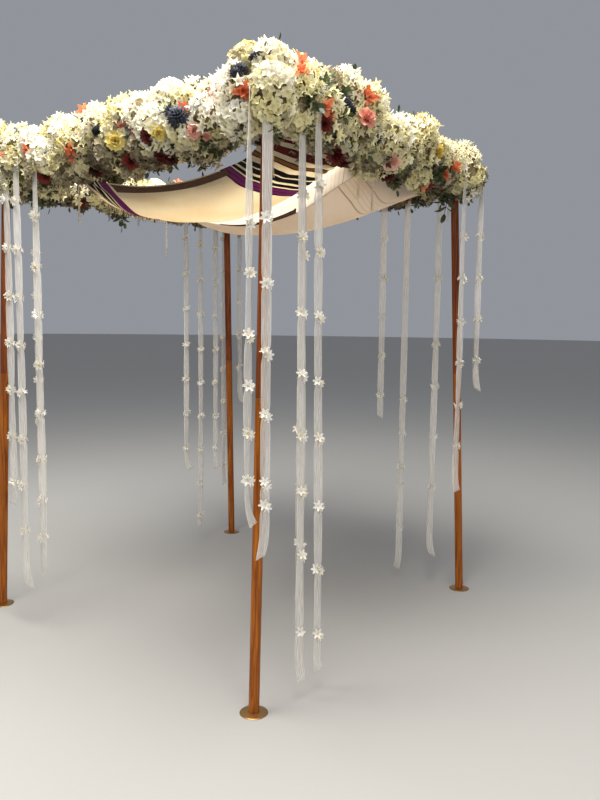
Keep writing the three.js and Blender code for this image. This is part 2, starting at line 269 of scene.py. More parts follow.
def middle_of(node):
    low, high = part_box(node)
    return (low + high) / 2


brass, tree = new_finish("turned_brass")
turning = marked(tree, "turning")
lathe = add(tree, "ShaderNodeTexNoise", {"W": turning, "Scale": LATHE_LINES, "Detail": 2},
            noise_dimensions="1D").outputs[0]
patina = object_grain(tree, 38, detail=6, distortion=0.8)
tone = ramp(tree, patina, [(0.30, "#7a5433"), (0.52, "#a97c45"), (0.74, "#c89a5a")])
# Painted highlight: the rim and the whole upper face are blended towards a pale brass
painted_face_highlight = between(tree, turning, PLATE_RADIUS - 0.004, PLATE_RADIUS + 0.008, 0.0, 0.55)
tone = blended(tree, painted_face_highlight, tone, paint("#d2ab70"))
surface(tree, tone, Metallic=1.0, Roughness=between(tree, patina, 0.3, 0.7, 0.44, 0.27),
        Normal=bumped(tree, lathe, 0.12, 0.0002))

for corner in CORNERS:
    plate = turned(f"plate_{corner}", PLATE_PROFILE, PLATE_SIDES, brass)
    spot = middle_of(f"base_plate_{corner}")
    plate.data.transform(Matrix.Translation((spot.x, spot.y, 0)))
    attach(plate, "root")
    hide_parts(f"base_plate_{corner}")


# Poles
# Round hardwood poles in two varnished lengths: the lower one paler and orange, the upper one red-brown.
# A spigot on the lower length enters the upper one, and a thin pin of the same wood holds the rails.
TOP_HALF = 0.857
TWIST = math.radians(2.1)
POLE_TOP = 2.370
POLE_RADIUS = 0.022
POLE_JOINT = 1.280
POLE_FOOT = 0.0033
SPIGOT_RADIUS, SPIGOT_LENGTH = 0.011, 0.060
PIN_RADIUS, PIN_LENGTH = 0.006, 0.044
FIT = 0.0003
POLE_SIDES = 48
EASE = 0.0014


def quarter_turn(index):
    return Matrix.Rotation(TWIST + index * math.pi / 2, 3, "Z")


def top_corner(index):
    return quarter_turn(index) @ Vector((-TOP_HALF, -TOP_HALF, POLE_TOP))


def lean(index):
    """The shear that stands an upright pole on its plate and brings it to its top corner."""
    base = middle_of(f"base_plate_{CORNERS[index]}")
    top = top_corner(index)
    return Matrix(((1, 0, (top.x - base.x) / POLE_TOP, base.x), (0, 1, (top.y - base.y) / POLE_TOP, base.y),
                   (0, 0, 1, 0), (0, 0, 0, 1)))


def varnished(name, light, middle, dark):
    finish, tree = new_finish(name)
    fibre = object_grain(tree, 120, (1, 1, 0.03), detail=7, distortion=0.5)
    figure = object_grain(tree, 26, (1, 1, 0.05), detail=3, distortion=1.6)
    handling = object_grain(tree, 5, (1, 1, 0.4), detail=3)
    tone = ramp(tree, fibre, [(0.32, dark), (0.50, middle), (0.70, light)])
    tone = blended(tree, between(tree, figure, 0.42, 0.62, 0.0, 0.42), tone, paint(dark))
    tone = blended(tree, between(tree, handling, 0.45, 0.75, 0.0, 0.3), tone, paint(light))
    surface(tree, tone, Roughness=between(tree, handling, 0.3, 0.7, 0.5, 0.34),
            Normal=bumped(tree, fibre, 0.22, 0.0004),
            **{"Coat Weight": 0.06, "Coat Roughness": 0.2, "Specular IOR Level": 0.2})
    return finish


lower_wood = varnished("varnished_orange_wood", "#c8761f", "#9f5513", "#6c3208")
upper_wood = varnished("varnished_red_wood", "#a45a26", "#834019", "#57260c")
LOWER_PROFILE = (
    (0, POLE_FOOT), (POLE_RADIUS - EASE, POLE_FOOT), (POLE_RADIUS, POLE_FOOT + EASE),
    (POLE_RADIUS, POLE_JOINT - EASE), (POLE_RADIUS - EASE, POLE_JOINT), (SPIGOT_RADIUS, POLE_JOINT),
    (SPIGOT_RADIUS, POLE_JOINT + SPIGOT_LENGTH), (0, POLE_JOINT + SPIGOT_LENGTH))
UPPER_PROFILE = (
    (0, POLE_JOINT + SPIGOT_LENGTH + FIT), (SPIGOT_RADIUS + FIT, POLE_JOINT + SPIGOT_LENGTH + FIT),
    (SPIGOT_RADIUS + FIT, POLE_JOINT + FIT), (POLE_RADIUS - EASE, POLE_JOINT + FIT),
    (POLE_RADIUS, POLE_JOINT + FIT + EASE), (POLE_RADIUS, POLE_TOP - EASE), (POLE_RADIUS - EASE, POLE_TOP),
    (PIN_RADIUS, POLE_TOP), (PIN_RADIUS, POLE_TOP + PIN_LENGTH), (0, POLE_TOP + PIN_LENGTH))

for index, corner in enumerate(CORNERS):
    for length, profile, wood, slot in (("lower", LOWER_PROFILE, lower_wood, "pole_wood"),
                                        ("upper", UPPER_PROFILE, upper_wood, "pole_wood_dark")):
        pole = turned(f"{length}_pole_{corner}", profile, POLE_SIDES, wood)
        pole.data.transform(lean(index))
        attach(pole, "root")
        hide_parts(f"pole_{length}_{corner}")


# Rails
# Four planed softwood battens laid flat from pole to pole, two on the poles and two lapped over them.
# They keep the shape of the frame; only their sawn and planed surface is made here.
SIDES = ("front_right", "back_right", "back_left", "front_left")
RAIL_THICK = 0.020


def planed(name, stretch):
    finish, tree = new_finish(name)
    fibre = object_grain(tree, 150, stretch, detail=6, distortion=0.4)
    ring = object_grain(tree, 34, stretch, detail=2, distortion=2.2)
    tone = ramp(tree, fibre, [(0.30, "#93693f"), (0.52, "#b98f5f"), (0.72, "#cfaa78")])
    tone = blended(tree, between(tree, ring, 0.45, 0.6, 0.0, 0.5), tone, paint("#8a5f36"))
    surface(tree, tone, Roughness=between(tree, fibre, 0.3, 0.7, 0.78, 0.6),
            Normal=bumped(tree, fibre, 0.3, 0.0005))
    return finish


rail_finishes = (planed("planed_wood_lengthways", (0.03, 1, 1)),
                 planed("planed_wood_crossways", (1, 0.03, 1)))
for index, name in enumerate(SIDES):
    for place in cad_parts[f"rail_{name}"].material_slots:
        place.material = rail_finishes[index % 2]


# Striped shawl
# A woven wool prayer shawl with purple, black, gold and maroon bands across both ends.
# It hangs as a shallow sling along the front-left side, tied to the rails at its corners.
STRIPED_ROWS = (
    ((-786, -884, 2352), (-570, -878, 2335), (-350, -871, 2335), (-132, -863, 2352)),
    ((-832, -812, 2228), (-610, -752, 2246), (-370, -690, 2256), (-98, -640, 2290)),
    ((-838, -680, 2190), (-610, -604, 2170), (-370, -525, 2178), (-96, -466, 2210)),
    ((-840, -455, 2162), (-615, -390, 2114), (-370, -322, 2104), (-106, -256, 2140)),
    ((-840, -200, 2164), (-620, -140, 2102), (-375, -75, 2078), (-118, -5, 2100)),
    ((-842, 60, 2202), (-630, 122, 2102), (-380, 188, 2090), (-120, 254, 2116)),
    ((-858, 262, 2245), (-636, 330, 2160), (-390, 392, 2134), (-122, 460, 2142)))
MM = 0.001
CLOTH_GRID = (72, 132)
CLOTH_THICK = 0.0012
FOLD_DEPTH, FOLD_REACH, FOLD_START = 0.006, 0.35, 0.06
# Noise scales of the weave: along a thread and across it
SLUB, THREADS = 45, 900
# Length at each end that holds the bands
STRIPE_ZONE = 0.40
STRIPED_LENGTH = 1.48
CREAM, PURPLE, PLUM, BLACK = "#ece2cc", "#8b3580", "#551d46", "#1b1210"
GOLD, UMBER, MAROON, WINE = "#996b35", "#2f190b", "#7a1a15", "#470e0b"
# Band widths in millimetres, from the end of the cloth inwards
STRIPES = (
    (20, CREAM), (14, BLACK), (8, CREAM), (12, MAROON), (23, CREAM), (5, WINE), (15, MAROON), (4, WINE),
    (15, MAROON), (5, WINE), (28, CREAM), (7, UMBER), (18, GOLD), (7, UMBER), (32, CREAM), (28, BLACK),
    (8, CREAM), (30, BLACK), (14, CREAM), (20, BLACK), (10, CREAM), (8, PLUM), (20, PURPLE), (5, PLUM),
    (20, PURPLE), (9, PLUM), (15, CREAM))


def smooth_line(points, share):
    """Point of a curve through evenly counted points, with straight run-outs past both ends."""
    spans = len(points) - 1
    first = min(int(share * spans), spans - 1)
    weight = share * spans - first
    start, end = points[first], points[first + 1]
    before = points[first - 1] if first else 2 * start - end
    after = points[first + 2] if first + 2 <= spans else 2 * end - start
    leave, arrive = (end - before) / 2, (after - start) / 2
    bend = 2 * start - 2 * end + leave + arrive
    swing = 3 * end - 3 * start - 2 * leave - arrive
    return ((bend * weight + swing) * weight + leave) * weight + start


def folds(u, v):
    """Rise of the folds that run out from the tied corners, and of a few long ones along the cloth."""
    rise = 0.0
    for i, (tie_u, tie_v) in enumerate(((0, 0), (1, 0), (0, 1), (1, 1))):
        du, dv = (u - tie_u) * 0.8, (v - tie_v) * 1.5
        reach = math.hypot(du, dv)
        fade = math.exp(-reach / FOLD_REACH) * min(1.0, reach / FOLD_START)
        rise += FOLD_DEPTH * fade * math.sin(9 * math.atan2(dv, du) + 1.7 * i)
    return rise + 0.45 * FOLD_DEPTH * noise.noise(Vector((u * 9, v * 2.2, 12.4)))


def cloth_points(rows, across, along, drop=0.0, folded=True):
    """Grid of points over a stretch of a shawl, with or without its folds, lowered by drop."""
    lines = [[Vector(point) * MM for point in row] for row in rows]
    columns = [[smooth_line(line, u) for line in lines] for u in across]
    grid = [[smooth_line(column, v) for column in columns] for v in along]
    for v, row in zip(along, grid):
        for u, point in zip(across, row):
            if folded:
                point.z += folds(u, v)
            point.z -= drop
    return grid


def running(points):
    """Distance of each point along their line."""
    run = [0.0]
    for last, point in zip(points, points[1:]):
        run.append(run[-1] + (point - last).length)
    return run


def grid_piece(name, grid, finish):
    """A sheet over a grid of points, facing up, with its own lengths in metres as its map."""
    wide, long = len(grid[0]), len(grid)
    faces = [(j * wide + i, j * wide + i + 1, (j + 1) * wide + i + 1, (j + 1) * wide + i)
             for j in range(long - 1) for i in range(wide - 1)]
    piece = new_piece(name, [point for row in grid for point in row], faces, finish)
    across, along = running(grid[long // 2]), running([row[wide // 2] for row in grid])
    places = piece.data.uv_layers.new(name="cloth").uv
    for loop in piece.data.loops:
        j, i = divmod(loop.vertex_index, wide)
        places[loop.index].vector = (across[i], along[j])
    piece.data.shade_smooth()
    return piece


def settled(piece):
    """The piece with its modifiers made part of its mesh."""
    mesh = bpy.data.meshes.new_from_object(piece.evaluated_get(bpy.context.evaluated_depsgraph_get()))
    piece.modifiers.clear()
    piece.data = mesh
    return piece


def thickened(piece, thickness):
    """The piece with a real thickness, its rim closed."""
    coat = piece.modifiers.new("thickness", "SOLIDIFY")
    coat.thickness = thickness
    coat.offset = 0
    return settled(piece)


def stripe_stops(bands):
    """Stops of a stepped ramp over the stripe zone, from band widths in millimetres."""
    stops, run = [], 0.0
    for width, code in bands:
        stops.append((run * MM / STRIPE_ZONE, code))
        run += width
    return stops


def maths(tree, how, first, second=0.0):
    return add(tree, "ShaderNodeMath", {0: first, 1: second}, operation=how).outputs[0]


def cloth_map(tree):
    return add(tree, "ShaderNodeUVMap", uv_map="cloth").outputs[0]


def wool(name, bands, length, clear):
    """Woven wool with bands across both ends; clear is the share of light that comes through."""
    finish, tree = new_finish(name)
    here = cloth_map(tree)
    along = add(tree, "ShaderNodeSeparateXYZ", {0: here}).outputs[1]
    from_end = maths(tree, "MINIMUM", along, maths(tree, "SUBTRACT", length, along))
    waver = between(tree, grain(tree, here, 6.0, detail=3), 0, 1, -0.003, 0.003)
    from_end = maths(tree, "DIVIDE", maths(tree, "ADD", from_end, waver), STRIPE_ZONE)
    tone = ramp(tree, from_end, stripe_stops(bands), steps=True)
    weave = maths(tree, "ADD", grain(tree, here, 1.0, (SLUB, THREADS, 1)),
                  grain(tree, here, 1.0, (THREADS, SLUB, 1)))
    wash = grain(tree, here, 3.2, detail=5)
    tone = blended(tree, between(tree, weave, 0.7, 1.3, 0.3, 0.0), tone, paint("#c9b48e"), "MULTIPLY")
    tone = blended(tree, between(tree, wash, 0.4, 0.75, 0.0, 0.5), tone, paint("#eddcc0"), "MULTIPLY")
    surface(tree, tone, clear, Roughness=0.92, Normal=bumped(tree, weave, 0.35, 0.0006))
    return finish


def shares(count, low=0.0, high=1.0):
    return [low + (high - low) * i / count for i in range(count + 1)]


striped_wool = wool("wool_with_bands", STRIPES, STRIPED_LENGTH, clear=0.56)
striped = grid_piece("striped_shawl", cloth_points(
    STRIPED_ROWS, shares(CLOTH_GRID[0]), shares(CLOTH_GRID[1])), striped_wool)


# Plain shawl
# A second wool shawl, all cream, with six thin satin lines across each end.
# It fills the other half of the roof, and its long edge is turned up against the striped one.
PLAIN_ROWS = (
    ((-20, -860, 2312), (62, -856, 2352), (250, -850, 2325), (450, -842, 2318), (650, -834, 2330),
     (828, -828, 2352)),
    ((-60, -685, 2218), (10, -670, 2342), (245, -655, 2252), (430, -630, 2200), (650, -690, 2275),
     (812, -730, 2322)),
    ((-50, -419, 2114), (30, -395, 2258), (240, -385, 2180), (425, -368, 2130), (650, -420, 2200),
     (806, -450, 2280)),
    ((-40, -101, 2074), (45, -80, 2204), (242, -65, 2137), (425, -50, 2087), (650, -75, 2150),
     (806, -75, 2240)),
    ((-20, 235, 2118), (56, 255, 2220), (244, 260, 2134), (425, 265, 2090), (650, 270, 2146),
     (806, 270, 2244)),
    ((4, 580, 2226), (70, 585, 2284), (250, 590, 2182), (430, 595, 2140), (650, 600, 2186),
     (800, 605, 2264)),
    ((20, 858, 2352), (85, 860, 2352), (250, 866, 2300), (430, 872, 2290), (620, 880, 2300),
     (786, 886, 2352)))
PLAIN_LENGTH = 1.86
PLAIN_GRID = (84, 150)
WHITE, SATIN, FAINT = "#dfd5c9", "#b5a494", "#c9bbad"
SATIN_BANDS = (
    (199, WHITE), (7, SATIN), (24, WHITE), (4, FAINT), (21, WHITE), (4, FAINT), (21, WHITE), (4, FAINT),
    (25, WHITE), (5, FAINT), (32, WHITE), (8, SATIN), (46, WHITE))

plain_wool = wool("wool_with_satin_bands", SATIN_BANDS, PLAIN_LENGTH, clear=0.42)
plain = grid_piece("plain_shawl", cloth_points(
    PLAIN_ROWS, shares(PLAIN_GRID[0]), shares(PLAIN_GRID[1])), plain_wool)
# The single sheets, before they are made thick, for the flowers to keep clear of
cloth_trees = [BVHTree.FromObject(sheet, bpy.context.evaluated_depsgraph_get()) for sheet in (striped, plain)]


# Neckbands
# A strip of dark brown woven braid sewn along the middle of one long edge of each shawl.
# The striped shawl has it below. The plain one has it on its turned-up face, rolled narrow towards the back.
BAND_DROP = {"striped": 0.0026, "plain": -0.0026}
BAND_THICK = 0.0012
BAND_SPANS = {"striped": ((0.01, 0.085), (0.335, 0.83), (0.070, 0.75)),
              "plain": ((0.001, 0.034), (0.33, 0.62), (0.032, 0.58))}
# Share of the band's width that shows at its back end
BAND_LEFT = {"striped": 1.0, "plain": 0.18}
BAND_GRID = (6, 90)
SLANT = 0.02
RIBS = 160


def braid(name, dark, middle, light):
    """Ribbed woven band."""
    finish, tree = new_finish(name)
    here = cloth_map(tree)
    rib = add(tree, "ShaderNodeTexWave", {"Vector": here, "Scale": RIBS, "Distortion": 1.2, "Detail": 2},
              wave_type="BANDS", bands_direction="DIAGONAL").outputs["Fac"]
    tone = ramp(tree, rib, [(0.2, dark), (0.6, middle), (0.95, light)])
    tone = blended(tree, between(tree, grain(tree, here, 30), 0.4, 0.7, 0.0, 0.4), tone, paint(dark))
    surface(tree, tone, Roughness=0.9, Normal=bumped(tree, rib, 0.4, 0.0006), **{"Specular IOR Level": 0.05})
    return finish


brown_braid = braid("brown_braid", "#3a281f", "#55402f", "#6b5240")
dark_braid = braid("dark_brown_braid", "#140c08", "#22150e", "#2f2017")

for name, rows, finish in (("striped", STRIPED_ROWS, brown_braid), ("plain", PLAIN_ROWS, dark_braid)):
    (u_low, u_high), (v_low, v_high), cut = BAND_SPANS[name]
    grid = []
    for k, v in enumerate(shares(BAND_GRID[1], v_low, v_high)):
        width = (u_high - u_low) * (1 - (1 - BAND_LEFT[name]) * k / BAND_GRID[1])
        grid += cloth_points(rows, shares(BAND_GRID[0], u_low, u_low + width), [v], BAND_DROP[name])
    for row in (grid[0], grid[-1]):
        inward = SLANT if row is grid[0] else -SLANT
        for i, point in enumerate(row):
            point.y += inward * i / BAND_GRID[0]
    band = thickened(grid_piece(f"braid_{name}", grid, finish), BAND_THICK)
    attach(band, "root")
    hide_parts(f"neckband_{name}")


# Fringes, ties and corner tassels
# Both short ends of each shawl end in short twisted strands of its own wool.
# Flat ties hold the corners to the rails, and a knotted tassel hangs from each corner.
FRINGE_PITCH = 0.010
STRAND_LENGTH = 0.030
STRAND_RADII = (0.0018, 0.00144, 0.00189, 0.00153, 0.00063)
STRAND_LEAN, STRAND_SIZES = 0.12, (0.8, 1.15)
TIE_WIDTH, TIE_THICK, TIE_TINT = 0.010, 0.003, 0.75
TASSEL_THREADS = 4
TASSEL_LENGTH, TASSEL_LEAN, TASSEL_TINT = 0.21, 0.04, 0.85
THREAD_RADIUS, THREAD_STEPS = 0.0013, 8
THREAD_APART, THREAD_SPLAY = 0.0014, 0.010
TASSEL_KNOTS = 5
KNOT_RADII, KNOT_STEP = (0.0016, 0.0036, 0.0042, 0.0036, 0.0016), 0.0022
# Share of a tassel that is knotted; below it the threads hang apart
KNOTTED = 0.45
RAIL_LOW = POLE_TOP + FIT
RAIL_HIGH = RAIL_LOW + RAIL_THICK + FIT


def ring_faces(low, high, sides):
    """Faces between two rings of points, from the first point of each."""
    return [(low + j, low + (j + 1) % sides, high + (j + 1) % sides, high + j) for j in range(sides)]


def tube(path, radii, sides):
    """Points, faces and reach of a closed round cord along a path."""
    points, faces = [], []
    for k, (centre, radius) in enumerate(zip(path, radii)):
        ahead_of = path[min(k + 1, len(path) - 1)] - path[max(k - 1, 0)]
        turn = ahead_of.to_track_quat("Z", "Y")
        points += [centre + turn @ round_point(radius, math.tau * j / sides) for j in range(sides)]
    for k in range(len(path) - 1):
        faces += ring_faces(k * sides, (k + 1) * sides, sides)
    faces += [list(range(sides))[::-1], [len(points) - sides + j for j in range(sides)]]
    return points, faces, [0.0] * len(points)


def pattern(name, parts, finish):
    """One small piece to plant many times, from (points, faces, reach) parts."""
    points, faces, reach = [], [], []
    for part_points, part_faces, part_reach in parts:
        faces += [[len(points) + i for i in face] for face in part_faces]
        points += part_points
        reach += part_reach
    piece = new_piece(name, points, faces, finish)
    mark_points(piece.data, "reach", reach)
    piece.data.shade_smooth()
    return piece


def planting():
    """Node tree that sets a bloom on every place, turned to face out, with its own spin and size."""
    tree = bpy.data.node_groups.new("planting", "GeometryNodeTree")
    sockets = (("Places", "Geometry"), ("Bloom", "Object"), ("Growth", "Float"), ("Finish", "Material"))
    for label, kind in sockets:
        tree.interface.new_socket(label, in_out="INPUT", socket_type=f"NodeSocket{kind}")
    tree.interface.new_socket("Planted", in_out="OUTPUT", socket_type="NodeSocketGeometry")
    given = add(tree, "NodeGroupInput").outputs
    facing, spin, size = [
        add(tree, "GeometryNodeInputNamedAttribute", {"Name": label}, data_type=kind).outputs[0]
        for label, kind in (("facing", "FLOAT_VECTOR"), ("spin", "FLOAT"), ("size", "FLOAT"))]
    aimed = add(tree, "FunctionNodeAlignRotationToVector", {"Vector": facing}, axis="Z").outputs[0]
    rolled = add(tree, "FunctionNodeAxisAngleToRotation", {"Axis": (0, 0, 1), "Angle": spin}).outputs[0]
    turn = add(tree, "FunctionNodeRotateRotation", {"Rotation": aimed, "Rotate By": rolled},
               rotation_space="LOCAL").outputs[0]
    grown = maths(tree, "MULTIPLY", size, given["Growth"])
    bloom = add(tree, "GeometryNodeObjectInfo", {"Object": given["Bloom"]}).outputs["Geometry"]
    set_out = add(tree, "GeometryNodeInstanceOnPoints", {"Points": given["Places"], "Instance": bloom,
                                                         "Rotation": turn, "Scale": grown}).outputs[0]
    real = add(tree, "GeometryNodeRealizeInstances", {"Geometry": set_out}).outputs[0]
    dressed = add(tree, "GeometryNodeSetMaterial", {"Geometry": real, "Material": given["Finish"]}).outputs[0]
    add(tree, "NodeGroupOutput", {"Planted": dressed})
    return tree


planting_tree = planting()


def planted(name, places, bloom, finish):
    """A mesh of blooms on places, each (point, facing, spin, size, tint)."""
    soil = bpy.data.meshes.new(name)
    soil.from_pydata([place[0] for place in places], [], [])
    facing = soil.attributes.new("facing", "FLOAT_VECTOR", "POINT")
    facing.data.foreach_set("vector", [x for place in places for x in place[1]])
    for i, label in enumerate(("spin", "size", "tint")):
        mark_points(soil, label, [place[2 + i] for place in places])
    bed = link(name, soil)
    growing = bed.modifiers.new("planting", "NODES")
    growing.node_group = planting_tree
    values = {"Bloom": bloom, "Growth": 1.0, "Finish": finish}
    for item in planting_tree.interface.items_tree:
        if item.in_out == "INPUT" and item.name in values:
            growing[item.identifier] = values[item.name]
    return settled(bed)


def gathered(name, pieces):
    """Several pieces made one."""
    with bpy.context.temp_override(active_object=pieces[0], object=pieces[0], selected_objects=pieces,
                                   selected_editable_objects=pieces):
        bpy.ops.object.join()
    pieces[0].name = name
    pieces[0].data.name = name
    return pieces[0]


def cleared(*pieces):
    for piece in pieces:
        bpy.data.objects.remove(piece)


def evenly(*codes):
    """Stops of a ramp at even steps."""
    return [(i / (len(codes) - 1), code) for i, code in enumerate(codes)]


yarn, tree = new_finish("twisted_wool_yarn")
ply = object_grain(tree, 260, (1, 1, 0.5), detail=3)
tone = ramp(tree, marked(tree, "tint"), evenly("#8f7a5c", "#d8c196", "#efe0bd"))
tone = blended(tree, between(tree, ply, 0.35, 0.65, 0.35, 0.0), tone, paint("#6e5a3e"))
surface(tree, tone, Roughness=0.9, Normal=bumped(tree, ply, 0.5, 0.0008), **{"Sheen Weight": 0.3})

chance = random.Random(11)
strand_path = [Vector((0, 0, STRAND_LENGTH * share)) for share in shares(len(STRAND_RADII) - 1)]
strand = pattern("strand", [tube(strand_path, STRAND_RADII, 5)], yarn)

tassel_parts = []
for k in range(TASSEL_THREADS):
    way = round_point(1, math.tau * k / TASSEL_THREADS)
    path = [way * (THREAD_APART + THREAD_SPLAY * max(0, share - KNOTTED) * (1 + 0.4 * math.sin(5 * s + k)))
            + Vector((0, 0, TASSEL_LENGTH * share)) for s, share in enumerate(shares(THREAD_STEPS))]
    tassel_parts.append(tube(path, [THREAD_RADIUS] * len(path), 5))
for k in range(TASSEL_KNOTS):
    rise = TASSEL_LENGTH * KNOTTED * (k + 0.5) / TASSEL_KNOTS
    path = [Vector((0, 0, rise + KNOT_STEP * s)) for s in range(-2, 3)]
    tassel_parts.append(tube(path, KNOT_RADII, 8))
tassel = pattern("tassel", tassel_parts, yarn)


def hanging(chance, lean):
    """A direction that is down but for a slight lean."""
    return Vector((chance.gauss(0, lean), chance.gauss(0, lean), -1)).normalized()


def edge_places(rows, v, pitch, chance):
    """Places along a short end of a shawl, each facing down, for the fringe."""
    count = round((Vector(rows[0][-1]) - Vector(rows[0][0])).length * MM / pitch)
    places = []
    for point in cloth_points(rows, [(i + 0.5) / count for i in range(count)], [v], folded=False)[0]:
        down = hanging(chance, STRAND_LEAN)
        places.append((point, down, chance.uniform(0, math.tau), chance.uniform(*STRAND_SIZES),
                       chance.random()))
    return places


def tie_strap(start, end):
    """Points, faces and reach of a flat tie from the cloth up to its rail."""
    x, y = TIE_WIDTH / 2, TIE_THICK / 2
    points = [centre + Vector((*aside, 0)) for centre in (start, (start + end) / 2, end)
              for aside in ((-x, -y), (x, -y), (x, y), (-x, y))]
    faces = ring_faces(0, 4, 4) + ring_faces(4, 8, 4) + [(3, 2, 1, 0), (8, 9, 10, 11)]
    return points, faces, [0.0] * len(points)


# Each tie's place on the cloth, how far its head lies along y, both in millimetres, and the rail over it
TIES = {"striped": (((-782, -884, 2350), 0, RAIL_LOW), ((-140, -863, 2350), 0, RAIL_LOW),
                    ((-862, 255, 2242), 0, RAIL_HIGH), ((-132, 450, 2141), 402, RAIL_LOW - FIT)),
        "plain": (((-12, -860, 2315), 0, RAIL_LOW), ((62, -856, 2350), 0, RAIL_LOW),
                  ((820, -828, 2350), 0, RAIL_LOW), ((30, 859, 2350), 0, RAIL_LOW),
                  ((776, 885, 2350), 0, RAIL_LOW))}

for name, sheet, rows, cut in (("striped", striped, STRIPED_ROWS, (0.77, STRIPED_LENGTH)),
                               ("plain", plain, PLAIN_ROWS, (0.90, PLAIN_LENGTH))):
    places = edge_places(rows, 0.0, FRINGE_PITCH, chance) + edge_places(rows, 1.0, FRINGE_PITCH, chance)
    fringe = planted(f"fringe_{name}", places, strand, yarn)
    straps = []
    for start, aside, rail_bottom in TIES[name]:
        foot = Vector(start) * MM
        straps.append(tie_strap(foot, Vector((foot.x, foot.y + aside * MM, rail_bottom - FIT))))
    ties = pattern(f"ties_{name}", straps, yarn)
    mark_points(ties.data, "tint", [TIE_TINT] * len(ties.data.vertices))
    corners = [Vector(rows[j][i]) * MM for j in (0, -1) for i in (0, -1)]
    hung = [(corner, hanging(chance, TASSEL_LEAN), chance.uniform(0, math.tau), 1.0, TASSEL_TINT)
            for corner in corners]
    tassels = planted(f"tassels_{name}", hung, tassel, yarn)
    thickened(sheet, CLOTH_THICK)
    for piece in (sheet, fringe, ties, tassels):
        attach(piece, "root")
    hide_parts(f"shawl_{name}")
cleared(strand, tassel)


# Hydrangea heads of the garlands
# Ball-shaped heads of white to lime florets stand in rings along each rail, and in a ball at one corner.
# Some have four round petals to a floret, others five pointed ones, and in the gaps a ball coloured in
# painted shade shows at their middles.
# For each side: how high its first and last rings and its corner ball stand, and how far they reach
SIDE_RISE = {"front_right": (0.064, 0.044), "back_right": (0.044, 0.010), "back_left": (-0.066, -0.084),
             "front_left": (-0.046, 0.014)}
CORNER_RISE = {"front_right": 0.066, "back_right": 0.042, "back_left": -0.014, "front_left": -0.004}
RING_REACH = {"front_right": 0.106, "back_right": 0.102, "back_left": 0.040, "front_left": 0.088}
CORNER_SIZE = {"front_right": 1.0, "back_right": 0.74, "back_left": 0.85, "front_left": 0.95}
# How much higher or lower the top heads of each ring along one side stand, where they form clumps
CROWN = {"front_right": (0, 0, 0.028, 0.045, -0.028, -0.120, -0.060, -0.030, -0.060, -0.095, -0.065)}
HEAD_RADIUS = 0.077
RING_PITCH = 0.124
RING_HEADS = 5
RUN_HALF = 0.63
SLIM_END = 0.72
# Heads of a corner ball: how many in a ring, its angle of rise, its distance from the corner, its stagger
CLUSTER = ((1, 90, 0.084, 0), (5, 38, 0.112, 0.5), (6, -6, 0.130, 0), (6, -38, 0.146, 0), (1, -90, 0.085, 0))
# The low heads along a rail get painted shade, darker and more olive than the top ones, and the low heads of
# a corner ball painted light, paler;
# and every head gets painted shade, darker and more olive, underneath
PAINTED_HANG_SHADE = 0.42
CLUSTER_PAINTED_LIGHT = -0.3
PAINTED_UNDER_SHADE = 0.32
# Heads that the photograph shows whiter or greener than their neighbours: picture place and tint
SEEN_TINTS = ((200, 97, 0.1), (233, 110, 0.15), (158, 113, 0.15), (178, 157, 0.2), (262, 124, 0.38),
              (262, 130, 0.4), (290, 108, 0.45), (350, 132, 0.6), (355, 153, 0.66), (397, 134, 0.38),
              (410, 160, 0.55), (448, 149, 0.4))
# Scatter of the heads of a corner ball: angle, degrees of rise, distance; and of a ring: angle,
# distance, place along the rail
BALL_SCATTER, RING_SCATTER = (0.12, 6, 0.007), (0.17, 0.010, 0.016)
RADIUS_SCATTER = 0.006
# Shares of the heads that have pointed florets, above the rails and lower down
POINTED_ABOVE, POINTED_BELOW = 0.72, 0.30
# Pitch of the round florets, and how much wider the pointed ones stand
FLORET_PITCH, POINTED_WIDER = 0.0240, 1.12
FLORET_SINK, ROUND_SCATTER, POINTED_SCATTER = 0.008, 0.005, 0.009
FLORET_TILT = 0.30
FLORET_SIZES = (0.82, 1.24)
CLOTH_ROOM = 0.007
NEAR_HEADS = 14
HEART_SHARE, HEART_TURN, HEART_REACH = 0.84, 0.7, 0.6
HEART_ROWS, HEART_RING = 6, 9
HEART_POINTS = (HEART_ROWS - 1) * HEART_RING + 2
PETAL_CLEAR = 0.22


def garland_place(index, along, out, up):
    """Point at a distance along a rail, out from it and above its middle."""
    return quarter_turn(index) @ Vector((along, -TOP_HALF - out, POLE_TOP + RAIL_THICK + up))


def cloth_above(point):
    """Height of a shawl over or under a point, or None beside the shawls."""
    heights = []
    for tree in cloth_trees:
        hit = tree.ray_cast(Vector((point.x, point.y, 3)), Vector((0, 0, -1)))[0]
        if hit:
            heights.append(hit.z)
    return max(heights) if heights else None


def cluster_spots(side, chance):
    """Head places of a corner ball, as along, out and up, with a weight for the painted light on the low
    ones.
    """
    spots = []
    turn, lift, shift = BALL_SCATTER
    for count, rise, reach, stagger in CLUSTER:
        for i in range(count):
            angle = math.tau * (i + stagger + 0.28) / count + chance.gauss(0, turn)
            tilt = math.radians(rise + chance.gauss(0, lift))
            reached = CORNER_SIZE[side] * reach + chance.gauss(0, shift)
            # The last value is negative, so the low heads of a corner ball get painted light
            spots.append((-TOP_HALF + reached * math.cos(tilt) * math.cos(angle),
                          reached * math.cos(tilt) * math.sin(angle),
                          CORNER_RISE[side] + reached * math.sin(tilt),
                          CLUSTER_PAINTED_LIGHT * max(0, -math.sin(tilt))))
    return spots


